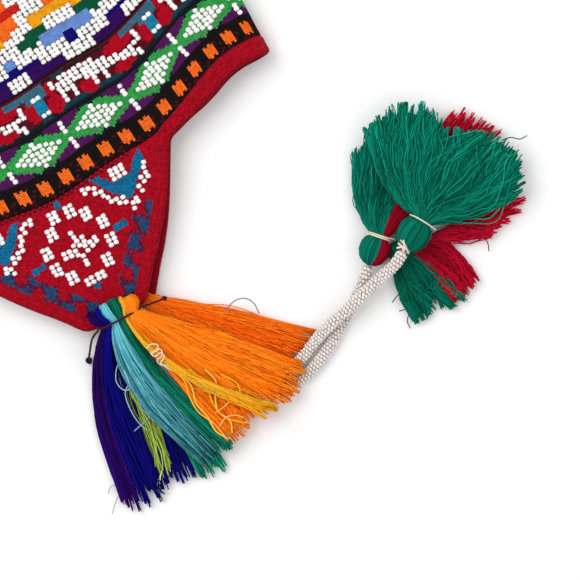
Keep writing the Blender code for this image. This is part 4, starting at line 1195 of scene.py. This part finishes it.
def strand_tubes(paths, radius, sides=YARN_SIDES):
    """Thin tubes along many paths of equal length; radius has one value per path and point."""
    ahead = np.gradient(paths, axis=1)
    ahead /= np.maximum(np.linalg.norm(ahead, axis=2, keepdims=True), 1e-6)
    helper = np.zeros_like(ahead)
    helper[..., 0] = -ahead[..., 1]
    helper[..., 1] = ahead[..., 0]
    helper[..., 0] += 1e-3
    across = helper / np.maximum(np.linalg.norm(helper, axis=2, keepdims=True), 1e-6)
    for k in range(1, across.shape[1]):
        flipped = (across[:, k] * across[:, k - 1]).sum(axis=1) < 0
        across[flipped, k] *= -1
    up = np.cross(across, ahead)
    turn = 2 * math.pi * (np.arange(sides) + 0.5) / sides
    points = paths[:, :, None] + radius[:, :, None, None] * (
        across[:, :, None] * np.cos(turn)[None, None, :, None]
        + up[:, :, None] * np.sin(turn)[None, None, :, None])
    count, steps = paths.shape[:2]
    step, side = np.meshgrid(np.arange(steps - 1), np.arange(sides), indexing="ij")
    beside = (side + 1) % sides
    quads = np.stack([step * sides + side, step * sides + beside,
                      (step + 1) * sides + beside, (step + 1) * sides + side], axis=-1).reshape(-1, 4)
    faces = (quads[None] + (np.arange(count) * steps * sides)[:, None, None]).reshape(-1, 4).tolist()
    first = np.arange(count) * steps * sides
    for start in first:
        faces.append([int(start + k) for k in range(sides)][::-1])
        faces.append([int(start + (steps - 1) * sides + k) for k in range(sides)])
    return points.reshape(-1, 3), faces


def smooth_path(points, spacing):
    """Points at an even spacing along a smooth curve through the given ones."""
    points = np.asarray(points, dtype=float)
    ends = np.vstack([points[0] * 2 - points[1], points, points[-1] * 2 - points[-2]])
    a, b, c, d = ends[:-3], ends[1:-2], ends[2:-1], ends[3:]
    dense = [0.5 * (2 * b + (c - a) * t + (2 * a - 5 * b + 4 * c - d) * t * t
                    + (3 * b - a - 3 * c + d) * t ** 3)
             for t in np.linspace(0, 1, 16, endpoint=False)]
    dense = np.vstack([np.stack(dense, axis=1).reshape(-1, 3), points[-1]])
    run = np.concatenate([[0], np.cumsum(np.linalg.norm(np.diff(dense, axis=0), axis=1))])
    wanted = np.linspace(0, run[-1], max(3, int(round(run[-1] / spacing)) + 1))
    return np.stack([np.interp(wanted, run, dense[:, k]) for k in range(3)], axis=1), wanted


# Loose threads of each hank: dye, radius, and the way they run
LOOSE_THREADS = {
    "front_tassel_orange": (
        ("8E8E8C", 0.34, ((50, -91, 9), (54, -89, 12), (58, -88.5, 13), (62, -90, 11), (64.5, -94, 8),
            (64.5, -100, 6))),
    ),
    "front_tassel_sky": (
        ("A8CBD2", 0.3, ((-9, -88, 11), (-13, -91, 8), (-16, -96, 6), (-15.5, -101, 6), (-12, -103, 8),
            (-10, -98, 10), (-9.5, -93, 11))),
        ("9FC4CC", 0.3, ((-10, -100, 9), (-15, -104, 6), (-16.5, -112, 5.6), (-16, -120, 5.6),
            (-14, -126, 5.6))),
        ("8FB8C4", 0.3, ((-7, -108, 9), (-11, -113, 7), (-9, -120, 6.5), (-4, -124, 7), (0, -128, 9))),
        ("9CB8C0", 0.26, ((-20, -123, 6), (-12, -121, 6.5), (-5, -118, 7), (-1, -119, 9))),
        ("8AB4C0", 0.3, ((-6, -112, 8), (-10, -118, 6.5), (-7, -126, 6.5), (-1, -131, 7), (2, -140, 8),
            (0, -149, 6))),
    ),
    "front_tassel_yellow": (
        ("F4DFC0", 0.34, ((6, -89, 17.6), (9, -88, 18), (12, -90, 18), (10, -92.5, 18), (7, -91.5, 18),
            (8, -94.5, 18), (11.5, -94, 18), (12, -97, 17.5), (9, -98.5, 17.5), (10, -101, 17),
            (12, -105, 14))),
        ("EFD2B4", 0.32, ((7, -93, 17.8), (10, -91.5, 18.2), (12.5, -93, 18), (11, -96, 18),
            (8, -96.5, 18), (9, -100, 17), (13, -102, 15))),
        ("FFC838", 0.36, ((12, -104, 12.6), (15, -112, 12.4), (13.5, -121, 12.4), (14, -130, 12.4),
            (18, -138, 12.2), (20, -147, 11.6))),
        ("F8D860", 0.36, ((14, -108, 12.6), (17, -116, 12.4), (15, -125, 12.4), (17, -134, 12.4),
            (17, -142, 12.2), (21, -149, 11.6))),
        ("FFC020", 0.36, ((20, -108, 13), (24, -118, 13), (22.5, -128, 13), (24, -137, 13),
            (29, -143, 12.6), (33, -146, 12))),
        ("F8D860", 0.36, ((27, -112, 13), (29, -120, 13), (25, -127, 13), (23, -134, 13),
            (26, -141, 13), (24, -147, 12.2))),
        ("FFB45A", 0.34, ((21, -134, 13), (28, -133, 13.5), (34, -130, 13))),
        ("FFC070", 0.34, ((20, -141, 13), (25, -138.5, 13.4), (30, -140, 13.4), (33, -143, 12.8))),
        ("FF9A4A", 0.34, ((18, -118, 12.6), (24, -124, 12.8), (30, -127, 12.8), (36, -127, 12.6))),
        ("FFC020", 0.36, ((33, -118, 14), (38, -126, 13.6), (37, -134, 13), (41, -143, 12.6))),
    ),
    "front_tassel_purple": (
        ("7A7A80", 0.2, ((-50, -155, 2), (-46, -151, 3), (-42, -148, 3))),
        ("7A7A80", 0.2, ((-47, -145, 2), (-44, -142.5, 3), (-41, -143, 3))),
    ),
    "back_tassel_lime": (
        ("E2EE9A", 0.34, ((-16, -146, 4.5), (-20, -151, 4.5), (-22, -155, 4), (-20, -159, 3))),
        ("D4E46C", 0.34, ((-17, -148, 4.5), (-22, -152, 4), (-25, -158, 3), (-23, -161, 2.4))),
    ),
    "left_end_tassel_green": (
        ("EADBC0", 0.5, ((132.6, -90.2, 8), (134.2, -92, 11.2), (136.6, -94.6, 12.2), (139, -97, 11.2),
            (140.8, -98.8, 8))),
        ("E6D2C4", 0.45, ((133.2, -89.6, 8), (134.9, -91.4, 11), (137.3, -94, 12.2),
            (139.7, -96.4, 11.4), (143, -99, 9))),
    ),
    "upper_end_tassel_green": (
        ("D9E0C8", 0.45, ((155.4, -91.6, 14.5), (157.2, -94, 17.8), (159.4, -97.6, 18.8),
            (161.4, -101, 17.8), (163.2, -104.6, 14))),
        ("E8DCCB", 0.6, ((141.5, -107.6, 13.5), (144.6, -105.6, 17), (146.4, -101.4, 18.4))),
        ("EEE4D6", 0.6, ((141.6, -103.4, 15.4), (144.4, -104.4, 17.2), (146.6, -108, 15.6))),
        ("E4D6C6", 0.7, ((143.4, -101.6, 15.6), (144.2, -104.6, 16.6), (142.6, -109.6, 13))),
        ("DCCFC2", 0.7, ((145.2, -100.6, 17.4), (145.9, -104, 17.6), (145.4, -108.6, 15))),
        ("0A3A30", 0.28, ((214, -80, 12), (219, -81, 12), (223, -84, 11), (227, -84, 10))),
    ),
    "lower_end_tassel_green": (
        ("0A3A30", 0.28, ((134, -124, 4), (130, -125.5, 4), (127, -127, 3))),
        ("0A3A30", 0.28, ((134, -132, 3), (131, -133, 3), (128, -132.5, 3))),
        ("0A3A30", 0.28, ((132, -136, 2.5), (129.4, -139, 2.5), (129, -143, 2))),
    ),
    "lower_end_tassel_red": (
        ("5A1420", 0.28, ((184, -119, 3), (184.4, -123, 3), (183, -127, 2.5))),
    ),
}
tassel_finish = yarn_material("tassel_yarn", 900, 2600, 0.30, 0.3, 0.0, from_object=True)
for number, hank in enumerate(HANKS):
    rng = np.random.default_rng(100 + number)
    tassel = TASSELS[hank[0]]
    paths = hank_strands(tassel, hank, rng)
    count, steps = paths.shape[:2]
    neck_pinch = np.ones(steps)
    past_head = UNDER_STEPS + len(HEAD_BACK_STEPS) + len(HEAD_STEPS) - 1
    neck_pinch[UNDER_STEPS - 1:past_head] = NECK_PINCH
    radius = YARN_RADIUS * rng.uniform(0.85, 1.15, (count, 1)) * neck_pinch[None, :]
    points, faces = strand_tubes(paths, radius)
    tones = np.array([dye(code) for code in hank[-1]])
    tones = tones[rng.integers(0, len(tones), count)] * rng.uniform(0.88, 1.10, (count, 1))
    uneven = 0.08 if hank[1] == "orange" else 0.22
    tones = tones * np.repeat(rng.uniform(1 - uneven, 1.1, (count // CLUMP + 1, 1)), CLUMP, axis=0)[:count]
    over_head = len(HEAD_BACK_STEPS) + len(HEAD_STEPS) - 2
    lit = np.concatenate([np.linspace(1, 0, UNDER_STEPS), np.zeros(over_head),
                          np.linspace(0, 1, RUN_STEPS)])
    node = f"{hank[0]}_{hank[1]}"
    # Hanks not listed are painted darker at the neck and lighter towards the foot: painted shade where the
    # strands crowd at the head, painted light on the spread ends.
    near, far = PAINTED_NECK_AND_FOOT_LIGHT.get(node, ((0.82, 0.82, 0.82), (1.32, 1.32, 1.32)))
    far = 1 + (np.array(far) - 1) * rng.uniform(0.5, 1.2, (count, 1))
    lit = (lit ** 1.3)[None, :, None]
    tones = tones[:, None] * (np.array(near) * (1 - lit) + far[:, None] * lit)
    tones = np.repeat(tones, YARN_SIDES, axis=1).reshape(-1, 3)
    core = hank_strands(tassel, hank, rng, CORE_LINES)
    faces += (grid_faces(CORE_LINES - 1, steps - 1)[:, [0, 3, 2, 1]] + len(points)).tolist()
    points = np.concatenate([points, core.reshape(-1, 3)])
    # The core sheet is painted at half the hank's dye (nearly full for orange and yellow): painted shade
    # for the inside of the hank seen between the strands.
    core_tone = np.array(dye(hank[-1][1])) * (0.95 if hank[1] in ("orange", "yellow") else 0.5)
    tones = np.concatenate([tones, np.tile(core_tone, (CORE_LINES * steps, 1))])
    for code, thickness, route in LOOSE_THREADS.get(node, ()):
        path = smooth_path(route, 0.9)[0][None]
        thread, thread_faces = strand_tubes(path, np.full(path.shape[:2], thickness), 5)
        faces += [[v + len(points) for v in face] for face in thread_faces]
        points = np.concatenate([points, thread])
        tones = np.concatenate([tones, np.tile(dye(code), (len(thread), 1))])
    strands = make_piece(f"{node}_yarn", points, faces, tassel_finish, point_dyes=tones)
    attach(strands, "root")
    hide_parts(node)

# Tassel tie.
# A dark maroon cord of two twisted plies goes round the front tassel's neck, over the colours, and its
# two free ends stick out at the sides, the left one knotted.
TIE_RADIUS = 0.65
TIE_PLY_TURN = 2.6
TIE_TAIL_LEFT = 17.0
TIE_TAIL_RIGHT = 12.0
tie_tassel = TASSELS["front_tassel"]
tie_centre = np.array((*tie_tassel[0], tie_tassel[2] + tie_tassel[6] / 2))
tie_half = tie_tassel[3] / 2 + TIE_RADIUS + 1.4
tie_up = tie_tassel[6] * 0.31 + 0.3 + TIE_RADIUS + 0.6


def path_frames(points):
    """Directions ahead, across and up at each point of a path, turning as little as possible."""
    ahead = unit_rows(np.gradient(points, axis=0))
    across = [unit(np.cross(ahead[0], (0.0, 0.05, 1.0)))]
    for direction in ahead[1:]:
        kept = across[-1] - direction * (across[-1] @ direction)
        across.append(unit(kept))
    across = np.array(across)
    return ahead, across, np.cross(across, ahead)


def plied_cord(points, radius, turn_length, plies=2, spacing=0.5):
    """Plies of a twisted cord along a path: their own paths."""
    centre, run = smooth_path(points, spacing)
    _, across, up = path_frames(centre)
    paths = []
    for ply in range(plies):
        turn = run / turn_length * 2 * math.pi + 2 * math.pi * ply / plies
        paths.append(centre + radius * 0.5 * (across * np.cos(turn)[:, None] + up * np.sin(turn)[:, None]))
    return np.array(paths)


loop = []
for i in range(25):
    angle = 2 * math.pi * i / 24
    c, s = math.cos(angle), math.sin(angle)
    sink = 2.2 * float(ease((c + 0.1) / 0.4)) if s > 0 else 0.0
    loop.append(tie_centre + (math.copysign(abs(c) ** 0.35, c) * tie_half, 1.2 * c * c - 0.4,
                              math.copysign(abs(s) ** 0.8, s) * tie_up - sink))
left, right = tie_centre - (tie_half, 0, 0), tie_centre + (tie_half, 0, 0)
left_end = left + unit(np.array((-0.72, -0.62, 0.0))) * TIE_TAIL_LEFT
left_end[2] = 2.0
left_tail = [left, mix(left, left_end, 0.3) + (-1, 1, 3), mix(left, left_end, 0.7) + (-1, 0, 1), left_end]
right_end = right + unit(np.array((0.98, -0.12, 0.0))) * TIE_TAIL_RIGHT
right_tail = [right, mix(right, right_end, 0.5) + (0, 0, 1), right_end]
knot_turns = []
for end, size in ((left_end, 1.35), (right_end, 0.9)):
    angle = np.linspace(0, 5 * math.pi, 26)
    knot_turns.append(end + np.stack([size * np.cos(angle) * np.cos(angle * 0.37),
                                      size * np.sin(angle),
                                      size * 0.8 * np.cos(angle) * np.sin(angle * 0.37)], axis=1))
tie_points, tie_faces = [], []
for route in (loop, left_tail, right_tail, *knot_turns):
    paths = plied_cord(route, TIE_RADIUS, TIE_PLY_TURN)
    paths[..., 2] = np.maximum(paths[..., 2], 0.5)
    points, faces = strand_tubes(paths, np.full(paths.shape[:2], TIE_RADIUS * 0.55), 6)
    start = sum(len(p) for p in tie_points)
    tie_points.append(points)
    tie_faces += [[v + start for v in face] for face in faces]
tie_points = np.concatenate(tie_points)
tie_tone = np.tile(dye("3C0B14"), (len(tie_points), 1))
tie_finish = yarn_material("tie_cord_wool", 1200, 3000, 0.3, 0.3, 0.2, from_object=True)
tie = make_piece("front_tassel_tie_cord", tie_points, tie_faces, tie_finish, point_dyes=tie_tone)
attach(tie, "root")
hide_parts("front_tassel_tie")

# Beaded straps.
# Two ropes of white seed beads, worked in a close spiral of eight round a pinkish thread core, run
# from the flap tips to the end tassels, and cross once on the way, the front one on top.
STRAP_DIAMETER = 6.4
ROPE_BEADS = 8
ROPE_STEP = 1.75
ROPE_BEAD_DEPTH = 0.95
ROPE_BEAD_PROFILE = ((0.35, -0.6), (0.80, -0.74), (1.06, 0.0), (0.80, 0.74), (0.35, 0.6))
STRAPS = {
    "beaded_strap_back": ("left_end_tassel", (
        (5, -70.2, 3.4), (6.6, -76, 3.3), (13.8, -90, 3.3), (24.8, -108.5, 3.3), (36.8, -125.7, 3.3),
        (49, -136.4, 3.3), (61.5, -140, 3.3), (69, -139.4, 3.3), (76, -137.5, 3.3), (82.8, -134.7, 3.3),
        (89.5, -131, 3.3), (96, -126.8, 3.3), (103.5, -121.9, 3.3), (110, -117.4, 3.3),
        (116.5, -112.4, 4.2))),
    "beaded_strap_front": ("upper_end_tassel", (
        (10.6, -70.6, 8.6), (13, -75.2, 7.6), (17.8, -82.6, 5.6), (24.4, -92.5, 3.3),
        (42.4, -116.8, 3.3), (52.2, -127.5, 3.3), (62, -132.3, 3.3), (69.5, -131.5, 3.3),
        (76, -129, 3.3), (83, -125.8, 4.2), (90, -123.1, 7.2), (96, -121.3, 9.8), (103.5, -119.5, 10.4),
        (111.5, -117.7, 10.4), (119.5, -115, 10.8), (127.5, -112.8, 11.2), (133.5, -111.4, 12.4))),
}
for number, (name, (tassel_name, route)) in enumerate(STRAPS.items()):
    place, turn, neck_height, _, _, lobe_length, lobe_height, _, _, _ = TASSELS[tassel_name]
    line = np.array((math.sin(math.radians(turn)), -math.cos(math.radians(turn)), 0.0))
    head = np.array((*place, neck_height + lobe_height / 2))
    pole = head - line * (lobe_length + 0.9)
    route = [*route, pole - line * STRAP_DIAMETER * 0.9, pole]
    centre, run = smooth_path(route, ROPE_STEP)
    ahead, across, up = path_frames(centre)
    spots = []
    for k, point in enumerate(centre[:-1]):
        for bead in range(ROPE_BEADS):
            turn = 2 * math.pi * (bead + 0.5 * (k % 2)) / ROPE_BEADS + 0.10 * k
            out = across[k] * math.cos(turn) + up[k] * math.sin(turn)
            around = np.cross(ahead[k], out)
            hole = unit(ahead[k] * 0.82 + around * 0.57)
            spot = point + ahead[k] * ROPE_STEP * (bead / ROPE_BEADS - 0.5) * 0.3 \
                + out * (STRAP_DIAMETER / 2 - ROPE_BEAD_DEPTH)
            spots.append((spot, (unit(np.cross(hole, out)), hole, out)))
    points, faces, tones = bead_field(spots, ROPE_BEAD_PROFILE, 1.0, 31 + number, 0.08, 0.12, 6, 0)
    # The back strap's beads are painted a little darker and greyer: painted shade on the lower of the two
    # ropes.
    if number == 0:
        tones = tones * (0.95, 0.95, 0.97)
    rope = make_piece(name + "_beads", points, faces, glass, point_dyes=tones * (0.90, 0.87, 0.83))
    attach(rope, "root")
    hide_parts(name)
    core_paths = plied_cord(route, 2.2, 9.0, 3, 1.1)
    points, faces = strand_tubes(core_paths, np.full(core_paths.shape[:2], 1.25), 5)
    core_tone = np.tile(dye("CFB4B2"), (len(points), 1))
    core = make_piece(name + "_thread", points, faces, tie_finish, point_dyes=core_tone)
    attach(core, "root")
    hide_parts(name)
